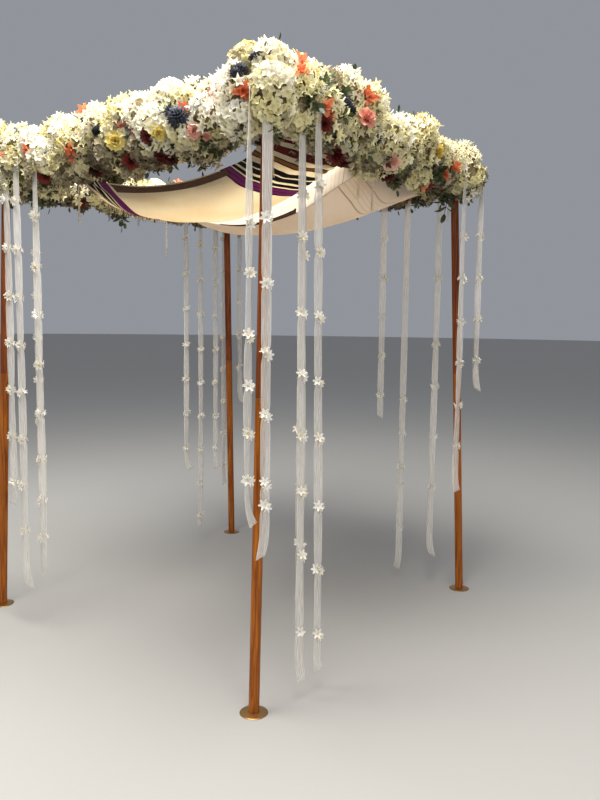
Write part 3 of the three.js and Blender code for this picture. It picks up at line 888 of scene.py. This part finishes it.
def run_spots(side, chance):
    """Head places along a rail, in rings that grow slimmer at the far end."""
    rings = round(2 * RUN_HALF / RING_PITCH)
    start, end = SIDE_RISE[side]
    crown = CROWN.get(side, [0] * (rings + 1))
    spots = []
    turn, shift, slide = RING_SCATTER
    for k in range(rings + 1):
        slim = SLIM_END if k == rings else 1
        rise = start + (end - start) * k / rings
        for i in range(RING_HEADS):
            angle = math.tau * (i + 0.5 * (k % 2)) / RING_HEADS + chance.gauss(0, turn)
            reach = slim * RING_REACH[side] + chance.gauss(0, shift)
            spots.append((-RUN_HALF + k * RING_PITCH + chance.gauss(0, slide), reach * math.cos(angle),
                          rise + reach * math.sin(angle) + crown[k] * max(0, math.sin(angle)),
                          max(0, -math.sin(angle))))
    return spots


def garland_heads(index, chance):
    """The heads on one side, without those that would lie under a shawl."""
    heads = []
    for along, out, up, hang in cluster_spots(SIDES[index], chance) + run_spots(SIDES[index], chance):
        centre = garland_place(index, along, out, up)
        radius = HEAD_RADIUS + chance.gauss(0, RADIUS_SCATTER)
        # Besides the head's own colour, its tint carries painted shade on low heads along a rail and painted
        # light on low heads of a corner ball
        tint = min(1, chance.betavariate(1.3, 2.4) * (1 - 0.3 * hang) + PAINTED_HANG_SHADE * hang)
        pointed = chance.random() < (POINTED_ABOVE if up > 0.02 else POINTED_BELOW)
        cloth_here = cloth_above(centre)
        if cloth_here is None or centre.z > cloth_here:
            heads.append(SimpleNamespace(centre=centre, radius=radius, tint=tint, side=index,
                                         pointed=pointed))
    return heads


def first_head(start, way):
    """Nearest point of the garlands on a line of sight, its head, and the way out of that head."""
    best = None
    for head in heads:
        offset = start - head.centre
        half = offset.dot(way)
        rest = half * half - offset.length_squared + head.radius * head.radius
        if rest > 0 and -half - math.sqrt(rest) > 0:
            distance = -half - math.sqrt(rest)
            if best is None or distance < best[0]:
                best = (distance, head)
    if best is None:
        return None
    point = start + way * best[0]
    return point, best[1], (point - best[1].centre).normalized()


def seen_head(x, y):
    """What first_head gives for the line of sight through a pixel of the picture."""
    way = ahead * FOCAL_PIXELS + across_view * (x - PICTURE_WIDTH / 2) - up_view * (y - PICTURE_HEIGHT / 2)
    return first_head(EYE, way.normalized())


def petal(length, width, lean, curl, cup, tip, rows, columns, turn, foot=0.0):
    """Points, faces and reach of one petal that starts on the axis and opens from it.

    It leaves the axis at lean degrees and bends by curl to its tip, whose width is a share tip
    of the widest. Its edges rise by cup, and foot lifts its start along the axis."""
    points, reach, faces = [Vector((0, 0, foot))], [0.0], []
    place, step = Vector((0, foot)), length / rows
    for k in range(1, rows + 1):
        share = k / rows
        angle = math.radians(lean + curl * (k - 0.5) / rows)
        place = place + step * Vector((math.sin(angle), math.cos(angle)))
        angle = math.radians(lean + curl * share)
        full = math.sin(math.pi * min(1, 0.18 + 0.62 * share)) if share < 1 else tip
        for i in range(columns + 1):
            side = 2 * i / columns - 1
            lift = cup * width * side * side * math.sin(math.pi * 0.75 * share)
            points.append(Vector((place.x - lift * math.cos(angle), side * full * width / 2,
                                  place.y + lift * math.sin(angle))))
            reach.append(share)
    for i in range(columns):
        faces.append((0, 1 + i, 2 + i))
        for k in range(rows - 1):
            low = 1 + k * (columns + 1) + i
            faces.append((low, low + columns + 1, low + columns + 2, low + 1))
    spin = Matrix.Rotation(turn, 3, "Z")
    return [spin @ point for point in points], faces, reach


def whorl(count, length, width, lean, curl, cup, tip, rows, columns, start=0.0, foot=0.0):
    return [petal(length, width, lean, curl, cup, tip, rows, columns, start + math.tau * k / count, foot)
            for k in range(count)]


def petals_finish(name, stops, heart, heart_share, rough=0.62):
    """Thin petals: a tint for each bloom, a different colour at the heart, and fine veins."""
    finish, tree = new_finish(name)
    fleck = object_grain(tree, 130, detail=3)
    patch = object_grain(tree, 9, detail=2)
    shifted = maths(tree, "ADD", marked(tree, "tint"), between(tree, patch, 0.3, 0.7, -0.12, 0.12))
    tone = ramp(tree, shifted, stops)
    heart_tone = between(tree, marked(tree, "reach"), 0.0, heart_share, 0.85, 0.0)
    tone = blended(tree, heart_tone, tone, paint(heart))
    tone = blended(tree, between(tree, fleck, 0.45, 0.75, 0.0, 0.12), tone, paint(heart))
    surface(tree, tone, PETAL_CLEAR, Roughness=between(tree, fleck, 0.3, 0.7, rough + 0.1, rough - 0.1),
            Normal=bumped(tree, fleck, 0.25, 0.0006))
    return finish


# Towards its end this ramp runs to dark olive and brown, the painted shade of low and underside florets
ivory_petals = petals_finish("hydrangea_petals", [
    (0.0, "#fffbf3"), (0.30, "#fdf7e3"), (0.46, "#f8f0c3"), (0.58, "#efe5af"), (0.70, "#d9cfaa"),
    (0.84, "#a09278"), (1.0, "#665440")], "#cbc686", 0.45)
# The hearts fill each head inside its florets in a darker olive: painted shade in the gaps
shade_petals = petals_finish("hydrangea_hearts", evenly("#a3946c", "#867755", "#685a42"), "#564a33", 0.5)

chance = random.Random(5)
round_petals = whorl(4, 0.0205, 0.0210, lean=58, curl=24, cup=0.34, tip=0.50, rows=2, columns=2)
pointed_petals = whorl(5, 0.0300, 0.0135, lean=34, curl=36, cup=0.30, tip=0.10, rows=2, columns=2)
round_floret = pattern("round_floret", round_petals, ivory_petals)
pointed_floret = pattern("pointed_floret", pointed_petals, ivory_petals)
heads = [head for index in range(4) for head in garland_heads(index, chance)]
for x, y, tint in SEEN_TINTS:
    seen_head(x, y)[1].tint = tint
for order, head in enumerate(heads):
    head.turn = HEART_TURN * order
    head.near = sorted(heads, key=lambda other: (other.centre - head.centre).length)[1:NEAR_HEADS + 1]


def inside_other(point, home):
    """True where a point lies inside a head other than its own."""
    return any((point - head.centre).length < head.radius + 0.001 for head in home.near)


def even_directions(count, turn):
    """Directions spread evenly over a ball."""
    golden = math.pi * (3 - math.sqrt(5))
    for i in range(count):
        z = 1 - 2 * (i + 0.5) / count
        yield round_point(math.sqrt(1 - z * z), golden * i + turn, z)


def scattered(chance, spread):
    return Vector([chance.gauss(0, spread) for _ in range(3)])


# Blooms among the hydrangeas
# Roses, coral lilies, burgundy dahlias, dark thistles and green pompons stand between the heads.
# The ones that the photograph shows are set where it shows them; the far sides carry the same mix.
FAR_COUNTS = {"coral": 9, "burgundy": 8, "rose": 4, "butter_rose": 3, "thistle": 5, "pompon": 2}
BLOOM_RADIUS = {"coral": 0.022, "burgundy": 0.026, "rose": 0.026, "butter_rose": 0.026, "thistle": 0.022,
                "pompon": 0.024}
BLOOM_GAP = 0.055
BLOOM_SIZES, BLOOM_TILT = (0.95, 1.35), 0.2
# Angles round the rail, from level outwards, between which the far sides' blooms stand
BLOOM_ROUND = (-1.2, 2.6)
# How far past its corner a garland goes on
OVERRUN = 0.12
# Blooms that the photograph shows: picture place and size
SEEN_BLOOMS = {
    "coral": ((84, 112, 1.2), (28, 149, 1.0), (72, 149, 1.1), (72, 158, 0.9), (136, 134, 0.9),
              (183, 110, 1.1), (215, 90, 1.2), (215, 100, 0.9), (243, 92, 1.3), (248, 90, 1.0),
              (300, 62, 1.2), (302, 72, 1.0), (324, 108, 1.3), (329, 114, 1.0), (370, 97, 1.2),
              (367, 92, 1.0), (452, 168, 1.5), (407, 198, 0.9), (421, 187, 1.0), (2, 157, 1.0),
              (445, 174, 1.1)),
    "burgundy": ((45, 177, 1.3), (97, 170, 1.3), (130, 162, 1.3), (148, 138, 1.2), (163, 157, 1.5),
                 (325, 124, 1.2), (335, 156, 1.5), (343, 163, 1.2), (386, 174, 1.4), (428, 184, 1.3),
                 (80, 203, 1.3), (365, 180, 1.1), (170, 160, 1.2)),
    "rose": ((195, 131, 1.0), (367, 118, 1.3), (391, 162, 1.3), (123, 127, 0.8), (206, 137, 0.7)),
    "butter_rose": ((437, 152, 1.2), (158, 134, 1.0), (115, 142, 1.2), (60, 142, 0.9)),
    "thistle": ((178, 117, 1.9), (172, 112, 1.4), (240, 70, 1.3), (236, 74, 1.1), (255, 57, 0.9),
                (344, 104, 1.5), (350, 110, 1.2), (97, 131, 1.0), (322, 70, 0.8)),
    "pompon": ((374, 181, 1.2), (22, 176, 0.9)),
}


def round_the_rail(index, low, high, chance):
    """A point on the outside of a garland between two angles round its rail, as first_head gives it."""
    share = chance.random()
    along = -TOP_HALF - OVERRUN + share * (TOP_HALF + OVERRUN + RUN_HALF)
    start, end = SIDE_RISE[SIDES[index]]
    hub = garland_place(index, along, 0, start + (end - start) * share)
    angle = chance.uniform(low, high)
    way = quarter_turn(index) @ Vector((chance.gauss(0, 0.2), -math.cos(angle), math.sin(angle))).normalized()
    found = first_head(hub + way, -way)
    return found and (*found, way)


def bloom_spots(chance):
    """Each bloom's kind, point, way out, side and size."""
    spots = []
    for kind, seen in SEEN_BLOOMS.items():
        for x, y, size in seen:
            point, head, out = seen_head(x, y)
            spots.append((kind, point, out, head.side, size))
    for index in range(4):
        for kind, count in FAR_COUNTS.items():
            for _ in range(count):
                found = round_the_rail(index, *BLOOM_ROUND, chance)
                if not found:
                    continue
                point, _, out, _ = found
                if index in (0, 3) and (point - EYE).normalized().dot(out) < 0.1:
                    continue
                if all((point - spot[1]).length > BLOOM_GAP for spot in spots):
                    spots.append((kind, point, out, index, chance.uniform(*BLOOM_SIZES)))
    return spots


blooms = bloom_spots(random.Random(23))


def floret_places(home, chance):
    """Places of the florets that show on one head."""
    pitch = FLORET_PITCH * (POINTED_WIDER if home.pointed else 1)
    spread = POINTED_SCATTER if home.pointed else ROUND_SCATTER
    places = []
    count = round(4 * math.pi * home.radius * home.radius / pitch ** 2)
    for way in even_directions(count, chance.uniform(0, math.tau)):
        point = home.centre + way * (home.radius + chance.gauss(-FLORET_SINK, spread))
        facing = (way + scattered(chance, FLORET_TILT)).normalized()
        spin, size = chance.uniform(0, math.tau), chance.uniform(*FLORET_SIZES)
        # Florets that face down get painted shade through a higher tint
        under = PAINTED_UNDER_SHADE * max(0, -way.z - 0.1)
        shade = min(1, max(0, home.tint + chance.gauss(0, 0.08) + under))
        if inside_other(point, home):
            continue
        if any((point - spot).length < BLOOM_RADIUS[kind] * grown for kind, spot, _, _, grown in blooms):
            continue
        below = cloth_above(point)
        if below is None or point.z > below + CLOTH_ROOM:
            places.append((point, facing, spin, size, shade))
    return places


def heart(home):
    """Points, faces and reach of the dense middle of a head, flattened where it lies on cloth."""
    centre, radius = home.centre, home.radius * HEART_SHARE
    rows, ring = HEART_ROWS, HEART_RING
    points = [centre - Vector((0, 0, radius))]
    for k in range(1, rows):
        tilt = math.pi * k / rows - math.pi / 2
        for j in range(ring):
            aside = round_point(math.cos(tilt), math.tau * j / ring + home.turn, math.sin(tilt))
            points.append(centre + radius * aside)
    points.append(centre + Vector((0, 0, radius)))
    faces = [(0, 1 + (j + 1) % ring, 1 + j) for j in range(ring)]
    for k in range(rows - 2):
        faces += ring_faces(1 + k * ring, 1 + (k + 1) * ring, ring)
    last = len(points) - 1
    faces += [(last - ring + j, last - ring + (j + 1) % ring, last) for j in range(ring)]
    for point in points:
        below = cloth_above(point)
        if below is not None and point.z < below + CLOTH_ROOM:
            point.z = below + CLOTH_ROOM
    return points, faces, [HEART_REACH] * len(points)


chance = random.Random(31)
for index, name in enumerate(SIDES):
    mine = [head for head in heads if head.side == index]
    beds = []
    for pointed, floret in ((False, round_floret), (True, pointed_floret)):
        places = [place for head in mine if head.pointed == pointed for place in floret_places(head, chance)]
        beds.append(planted(f"{floret.name}s_{name}", places, floret, ivory_petals))
    # The hearts are coloured in painted shade, darker again where the head's tint carries painted shade
    hearts = pattern(f"hearts_{name}", [heart(head) for head in mine], shade_petals)
    mark_points(hearts.data, "tint", [min(1, 0.25 + 0.75 * head.tint)
                                      for head in mine for _ in range(HEART_POINTS)])
    hydrangeas = gathered(f"hydrangeas_{name}", [*beds, hearts])
    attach(hydrangeas, "root")
    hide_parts(f"garland_{name}")
cleared(round_floret, pointed_floret)


def spikes(count, length, radius):
    """Stiff points all round a small ball."""
    parts = []
    for way in even_directions(count, 0):
        if way.z < -0.5:
            continue
        turn = way.to_track_quat("Z", "Y")
        base = [turn @ round_point(radius * 0.3, math.tau * k / 3, radius * 0.6) for k in range(3)]
        faces = [(0, 1, 3), (1, 2, 3), (2, 0, 3), (2, 1, 0)]
        parts.append((base + [way * length], faces, [0.2, 0.2, 0.2, 1.0]))
    return parts


rose_petals = petals_finish("rose_petals", evenly("#fbe6da", "#f6cbb8", "#f0ad98"), "#dd7768", 0.45)
butter_petals = petals_finish("butter_rose_petals", evenly("#f8edb0", "#f3e38c", "#ead574"), "#c9a64a", 0.6)
coral_petals = petals_finish("coral_lily_petals", evenly("#f2a27c", "#e8875a", "#d87048"), "#b04a24", 0.5)
burgundy_petals = petals_finish("dahlia_petals", evenly("#9a4130", "#7b2c26", "#561f1f"), "#351012", 0.7)
thistle_petals = petals_finish("thistle_bracts", [(0.0, "#474c59"), (0.45, "#2a2c36"), (1.0, "#191a20")],
                               "#121318", 0.6)
pompon_petals = petals_finish("pompon_petals", evenly("#c9c96b", "#a8a64a", "#87863a"), "#646427", 0.7)

# Each whorl: how many petals, their length, width, lean, curl, cup, tip, rows, columns and first turn
rose_parts = [
    *whorl(3, 0.026, 0.024, 4, -4, 0.7, 0.8, 3, 4), *whorl(4, 0.029, 0.029, 12, 10, 0.55, 0.8, 3, 4, 0.5),
    *whorl(5, 0.032, 0.032, 26, 34, 0.4, 0.75, 3, 4, 0.2),
    *whorl(6, 0.036, 0.034, 48, 58, 0.25, 0.7, 3, 4, 0.7)]
coral_parts = [
    *whorl(3, 0.042, 0.018, 12, 40, 0.4, 0.14, 4, 2), *whorl(3, 0.040, 0.021, 30, 62, 0.35, 0.16, 4, 2, 1.05),
    *whorl(4, 0.030, 0.0028, 8, 26, 0.1, 0.9, 2, 2, 0.3)]
dahlia_parts = [
    *whorl(8, 0.018, 0.012, 12, 8, 0.5, 0.3, 2, 2), *whorl(10, 0.025, 0.015, 34, 20, 0.45, 0.3, 2, 2, 0.2),
    *whorl(12, 0.030, 0.017, 58, 26, 0.35, 0.3, 2, 2, 0.5),
    *whorl(12, 0.031, 0.017, 84, 24, 0.3, 0.3, 2, 2, 0.1)]
pompon_parts = [part for k in range(6) for part in whorl(
    4 + 3 * min(k, 6 - k), 0.0255, 0.011, 12 + 26 * k, 16, 0.5, 0.6, 2, 2, 0.7 * k)]
# For each kind: the bloom, its finish, and how deep it stands among the heads
BLOOM_PATTERNS = {
    "coral": (pattern("coral_lily", coral_parts, coral_petals), coral_petals, 0.012),
    "burgundy": (pattern("dahlia", dahlia_parts, burgundy_petals), burgundy_petals, 0.010),
    "rose": (pattern("rose", rose_parts, rose_petals), rose_petals, 0.012),
    "butter_rose": (pattern("butter_rose", rose_parts, butter_petals), butter_petals, 0.012),
    "thistle": (pattern("thistle", spikes(110, 0.027, 0.018), thistle_petals), thistle_petals, 0.002),
    "pompon": (pattern("pompon", pompon_parts, pompon_petals), pompon_petals, -0.004),
}

chance = random.Random(41)
for index, name in enumerate(SIDES):
    beds = []
    for kind, (bloom, finish, sink) in BLOOM_PATTERNS.items():
        places = [(point - way * sink, (way + scattered(chance, BLOOM_TILT)).normalized(),
                   chance.uniform(0, math.tau), size, chance.random())
                  for other, point, way, side, size in blooms if other == kind and side == index]
        if places:
            beds.append(planted(f"{kind}_{name}", places, bloom, finish))
    bunch = gathered(f"blooms_{name}", beds)
    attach(bunch, "root")
cleared(*[bloom for bloom, _, _ in BLOOM_PATTERNS.values()])


# Foliage of the garlands
# Sprigs of silvery eucalyptus and of dark broad leaves are pushed between the heads.
# More of the dark ones droop from the undersides, where the wires are hidden.
SEEN_DEPTH, SEEN_TINT, SEEN_SPIN = 0.02, 0.4, 0.7
SPRIG_SIZES, SPRIG_TILT = (0.75, 1.15), 0.35
SPRIG_ROOM = 0.05
STEM_RADIUS, STEM_TAPER, STEM_SIDES = 0.0016, 0.6, 5
# Cup and tip of a leaf, how much the upper leaves are smaller, and the turn from pair to pair
LEAF_CUP, LEAF_TIP, LEAF_SHRINK, PAIR_TURN = 0.16, 0.1, 0.45, 0.9
# The leaf at the tip of a sprig: its share of the size, lean, curl and turn
END_LEAF = (0.6, 8, 10, 0.4)
# How many sprigs stand on a side, between which angles round its rail, how far they droop, and how
# deep their stems go in among the heads
UPPER_SPRIGS = (26, -0.9, 2.6, 0.0, 0.058)
UNDER_SPRIGS = (34, -2.4, -0.6, 0.7, 0.040)
SILVER_SPRIGS = (16, -0.9, 2.6, 0.1, 0.040)
# Sprigs that the photograph shows: picture place, size and droop
SEEN_SPRIGS = ((33, 188, 1.2, 1.2), (30, 192, 1.0, 1.4), (447, 194, 1.9, 2.2), (440, 175, 1.0, 0.2),
               (415, 192, 1.0, 0.6), (318, 82, 1.0, 0.0), (340, 92, 1.0, 0.0), (360, 183, 1.1, 0.8),
               (439, 171, 1.1, 0.1), (418, 197, 1.1, 1.0), (312, 100, 1.1, 0.2), (326, 90, 1.0, 0.1),
               (444, 192, 1.3, 1.5), (38, 190, 1.2, 1.6), (121, 211, 1.5, 2.4), (124, 212, 1.2, 2.6),
               (110, 188, 1.0, 0.8), (262, 138, 0.8, 0.7), (207, 140, 0.9, 0.8))


def sprig(pairs, pitch, length, width, lean, curl):
    """A stem with leaves to both sides and one at its tip."""
    parts = []
    for k in range(pairs):
        shrink = 1 - LEAF_SHRINK * k / pairs
        for side in (0, math.pi):
            parts.append(petal(length * shrink, width * shrink, lean, curl, LEAF_CUP, LEAF_TIP, 4, 2,
                               side + PAIR_TURN * k, pitch * k))
    share, end_lean, end_curl, end_turn = END_LEAF
    parts.append(petal(length * share, width * share, end_lean, end_curl, LEAF_CUP, LEAF_TIP, 4, 2,
                       end_turn, pitch * pairs))
    path = [Vector((0, 0, pitch * k)) for k in range(pairs + 1)]
    radii = [STEM_RADIUS * (1 - STEM_TAPER * k / (pairs + 1)) for k in range(pairs + 1)]
    parts.append(tube(path, radii, STEM_SIDES))
    return parts


dark_leaves = petals_finish("dark_leaves", evenly("#65703f", "#414c2a", "#29331f"), "#1c2414", 0.3, 0.5)
silver_leaves = petals_finish("silver_leaves", evenly("#aab3a6", "#84908a", "#5d6a6a"), "#4c5856", 0.3, 0.6)
dark_parts = sprig(3, pitch=0.022, length=0.052, width=0.028, lean=48, curl=30)
silver_parts = sprig(4, pitch=0.016, length=0.036, width=0.022, lean=55, curl=20)
dark_sprig = pattern("dark_sprig", dark_parts, dark_leaves)
silver_sprig = pattern("silver_sprig", silver_parts, silver_leaves)


def sprig_places(index, kind, chance):
    """Places of one kind on one side."""
    count, low, high, droop, depth = kind
    places = []
    for _ in range(count):
        found = round_the_rail(index, low, high, chance)
        spin, size, tint = chance.uniform(0, math.tau), chance.uniform(*SPRIG_SIZES), chance.random()
        if not found:
            continue
        point, _, _, way = found
        below = cloth_above(point)
        if below is not None and point.z < below + SPRIG_ROOM:
            continue
        facing = (way + Vector((0, 0, -droop)) + scattered(chance, SPRIG_TILT)).normalized()
        places.append((point - way * depth, facing, spin, size, tint))
    return places


chance = random.Random(53)
for index, name in enumerate(SIDES):
    dark = sprig_places(index, UPPER_SPRIGS, chance) + sprig_places(index, UNDER_SPRIGS, chance)
    for x, y, size, droop in SEEN_SPRIGS:
        point, head, out = seen_head(x, y)
        if head.side == index:
            facing = (out + Vector((0, 0, -droop))).normalized()
            dark.append((point - out * SEEN_DEPTH, facing, SEEN_SPIN * x, size, SEEN_TINT))
    silver = sprig_places(index, SILVER_SPRIGS, chance)
    beds = [planted(f"dark_{name}", dark, dark_sprig, dark_leaves),
            planted(f"silver_{name}", silver, silver_sprig, silver_leaves)]
    foliage = gathered(f"foliage_{name}", beds)
    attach(foliage, "root")
cleared(dark_sprig, silver_sprig)


# Ribbons and their star flowers
# Long strips of sheer organza hang from the flowers in groups of five at each corner.
# Small white star flowers with narrow petals are threaded on them, and their ends are cut on the slant.
RIBBON_WIDTH = 0.038
RIBBON_TOP = {"front": 2.420, "right": 2.352, "back": 2.352, "left": 2.352}
RIBBON_SWAY = 0.005
RIBBON_STEP = 0.018
RIBBON_TWIST = 0.28
# Share of the turn towards the front that a ribbon makes on its way down
RIBBON_FACING = 0.5
RIBBON_TURN_PACE = 4
# How far the lower end of a ribbon curls aside, and over what length
RIBBON_CURL, CURL_LENGTH = 0.020, 0.13
# How much longer one edge of a ribbon is, and over how many rows of points
RIBBON_CUT, CUT_ROWS = 0.016, 3
RIBBON_THICK = 0.0005
# Noise scales across and along the threads of the organza, and where its dense edge starts and ends
ORGANZA_THREADS = (900, 14, 1)
SELVAGE = (0.0155, 0.0172)
STAR_PITCH = 0.235
FIRST_STAR = 2.17
# The three flowers of a cluster: turn in radians, rise and growth of each
STAR_CLUSTER = ((-0.4, 0.4, 1.28), (0.6, -0.3, 1.2), (2.9, 0.2, 1.1))
STAR_SPREAD, STAR_LIFT, STAR_TILT = 0.006, 0.003, 0.28
STAR_SIZES = (0.88, 1.1)
# How near to a ribbon's lower end its last star flower may be
LAST_STAR = 0.08
# How much narrower a ribbon is drawn at a flower, and over what length
GATHER, GATHER_REACH = 0.36, 0.022
# Across a ribbon: share of its half width, and depth of the fold there
RIBBON_FOLDS = ((-1, 0.4), (-0.55, -0.9), (-0.1, 0.5), (0.4, -0.7), (1, 0.6))
FOLD_WAVE = 0.0022
# How far aside the lower ends of two ribbons hang, in metres
RIBBON_DRIFT = {"front": {2: 0.022, 3: 0.045}}
# A ribbon under a head ends this far inside it, where it lies within this share of the head's radius
RIBBON_HIDDEN, HIDING_SHARE = 0.028, 0.8
# Place in plan in millimetres, height of the lower end, and turn of the strip in degrees
RIBBONS = {
    "front": ((-998, -952, 790, 40), (-958, -1004, 665, -38), (-742, -998, 75, 5), (-652, -1008, 85, -5),
              (-700, -972, 430, 10)),
    "right": ((838, -556, 50, 80), (862, -752, 175, 70), (790, -940, 610, 10), (846, -392, 980, 95),
              (960, -960, 1180, 45)),
    "back": ((462, 912, 540, 0), (602, 918, 110, 12), (770, 938, 500, -8), (905, 990, 350, 35),
             (985, 905, 960, 75)),
    "left": ((-1006, 640, 610, 88), (-1000, 560, 190, 95), (-998, 405, 290, 85), (-985, 925, 480, 40),
             (-663, 924, 300, 5)),
}
# Picture rows of the star flowers on the ribbons that the photograph shows clearly
SEEN_STARS = {
    ("front", 0): (223, 273, 337, 387, 434, 480), ("front", 1): (218, 283, 354, 416, 484, 507),
    ("front", 2): (238, 313, 377, 437, 493, 557, 633), ("front", 3): (187, 252, 318, 383, 440, 509, 572, 638),
    ("right", 0): (400, 434, 467, 484, 527), ("right", 1): (278, 345, 386, 436, 487),
    ("left", 2): (216, 267, 315, 364, 413, 459, 499, 537),
}

organza, tree = new_finish("sheer_organza")
here = cloth_map(tree)
parts = add(tree, "ShaderNodeSeparateXYZ", {0: here}).outputs
threads = grain(tree, here, 1.0, ORGANZA_THREADS, detail=2)
from_middle = maths(tree, "ABSOLUTE", maths(tree, "SUBTRACT", parts[0], RIBBON_WIDTH / 2))
selvage = between(tree, from_middle, *SELVAGE, 0.0, 1.0)
tone = ramp(tree, threads, [(0.3, "#ded8ce"), (0.55, "#f1ece4"), (0.8, "#fcfaf6")])
tone = blended(tree, selvage, tone, paint("#f6f1e8"))
cover = maths(tree, "MAXIMUM", between(tree, threads, 0.35, 0.7, 0.30, 0.58),
              maths(tree, "MULTIPLY", selvage, 0.8))
surface(tree, tone, Roughness=0.5, Alpha=cover)

star_petals = petals_finish("star_flower_petals", evenly("#fffdf8", "#fdf9ee", "#f6eedb"), "#e4d8b4", 0.28)
star_parts = [*whorl(6, 0.0225, 0.0090, 30, 50, 0.40, 0.55, 3, 2),
              *whorl(3, 0.010, 0.0035, 12, 10, 0.2, 0.8, 1, 2, 0.2)]
star = pattern("star_flower", star_parts, star_petals)


def row_height(x, y, row):
    """Height at which a plumb line in plan crosses a row of the picture."""
    foot = Vector((x, y, 0)) - EYE
    drop = PICTURE_HEIGHT / 2 - row
    return (drop * foot.dot(ahead) - FOCAL_PIXELS * foot.dot(up_view)) / (
        FOCAL_PIXELS * up_view.z - drop * ahead.z)


def flower_cover(strip, top):
    """Height just inside the flowers that a ribbon comes out of."""
    place = Vector((strip[0] * MM, strip[1] * MM, 0))
    undersides = []
    for head in heads:
        aside = (Vector((head.centre.x, head.centre.y, 0)) - place).length
        if aside < HIDING_SHARE * head.radius:
            undersides.append(head.centre.z - math.sqrt(head.radius * head.radius - aside * aside))
    return min(top, min(undersides) + RIBBON_HIDDEN) if undersides else top


def front_turn(strip):
    """Angle that a ribbon turns by so as to show more of its width towards the front."""
    sight = Vector((strip[0] * MM, strip[1] * MM, 0)) - EYE
    square_on = math.degrees(math.atan2(sight.y, sight.x)) - 90
    return RIBBON_FACING * math.radians((square_on - strip[3] + 90) % 180 - 90)


def ribbon_line(strip, top, order, height, drift):
    """Centre of a ribbon whose lower end hangs drift metres aside, at a height, and the way across it."""
    x, y, low, turn = strip
    share = (height - low * MM) / (top - low * MM)
    sway = RIBBON_SWAY * math.sin(math.tau * share + order) * (1 - share)
    angle = math.radians(turn) + front_turn(strip) * min(1, RIBBON_TURN_PACE * (1 - share))
    wide, out = round_point(1, angle), round_point(1, angle + math.pi / 2)
    twist = RIBBON_TWIST * math.sin(2.3 * math.tau * share + 1.9 * order) * math.sqrt(max(0, 1 - share))
    across = wide * math.cos(twist) + out * math.sin(twist)
    curl = RIBBON_CURL * max(0, 1 - (height - low * MM) / CURL_LENGTH) ** 2
    aside = wide * (curl * math.cos(2.6 * order)) + out * (sway - 0.6 * curl)
    aside += Vector((drift * (1 - share), 0, 0))
    return Vector((x * MM, y * MM, height)) + aside, across


def ribbon_grid(strip, top, order, gathers, drift):
    """Points of a ribbon, gathered narrow where each flower is threaded on."""
    low = strip[2] * MM
    count = round((top - low) / RIBBON_STEP)
    grid = []
    for k in range(count + 1):
        height = low + (top - low) * k / count
        centre, across = ribbon_line(strip, top, order, height, drift)
        out = Vector((-across.y, across.x, 0))
        row = []
        drawn = max([math.exp(-((height - place) / GATHER_REACH) ** 2) for place in gathers], default=0)
        half = RIBBON_WIDTH / 2 * (1 - GATHER * drawn)
        for i, (side, fold) in enumerate(RIBBON_FOLDS):
            wave = FOLD_WAVE * fold * (1 + 0.5 * math.sin(17 * height + order + i))
            slant = RIBBON_CUT * (side + 1) / 2 * max(0, 1 - k / CUT_ROWS)
            row.append(centre + across * (side * half) + out * wave + Vector((0, 0, slant)))
        grid.append(row)
    return grid


chance = random.Random(67)
for corner, strips in RIBBONS.items():
    starred, hung = [], []
    for order, strip in enumerate(strips):
        top = flower_cover(strip, RIBBON_TOP[corner])
        x, y, low = (value * MM for value in strip[:3])
        drift = RIBBON_DRIFT.get(corner, {}).get(order, 0.0)
        heights = [row_height(x, y, row) for row in SEEN_STARS.get((corner, order), ())]
        if not heights:
            start = FIRST_STAR - chance.uniform(0, STAR_PITCH / 2)
            heights = [start - STAR_PITCH * k for k in range(12) if start - STAR_PITCH * k > low + LAST_STAR]
        grid = ribbon_grid(strip, top, order, heights, drift)
        ribbon = grid_piece(f"organza_{corner}_{order + 1}", grid, organza)
        hung.append((thickened(ribbon, RIBBON_THICK), strip, top))
        for height in heights:
            if low < height < top:
                centre, _ = ribbon_line(strip, top, order, height, drift)
                out = Vector((x, y, 0)).normalized()
                for turn, rise, growth in STAR_CLUSTER:
                    way = Matrix.Rotation(turn, 3, "Z") @ out
                    facing = (way + Vector((0, 0, rise)) + scattered(chance, STAR_TILT)).normalized()
                    place = centre + facing * STAR_LIFT + Vector((0, 0, STAR_SPREAD * rise))
                    starred.append((place, facing, chance.uniform(0, math.tau),
                                    growth * chance.uniform(*STAR_SIZES), chance.random()))
    stars = planted(f"star_flowers_{corner}", starred, star, star_petals)
    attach(stars, "root")
    for order, (ribbon, strip, top) in enumerate(hung):
        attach(ribbon, "root")
        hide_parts(f"ribbon_{corner}_{order + 1}")
cleared(star)


low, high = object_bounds()
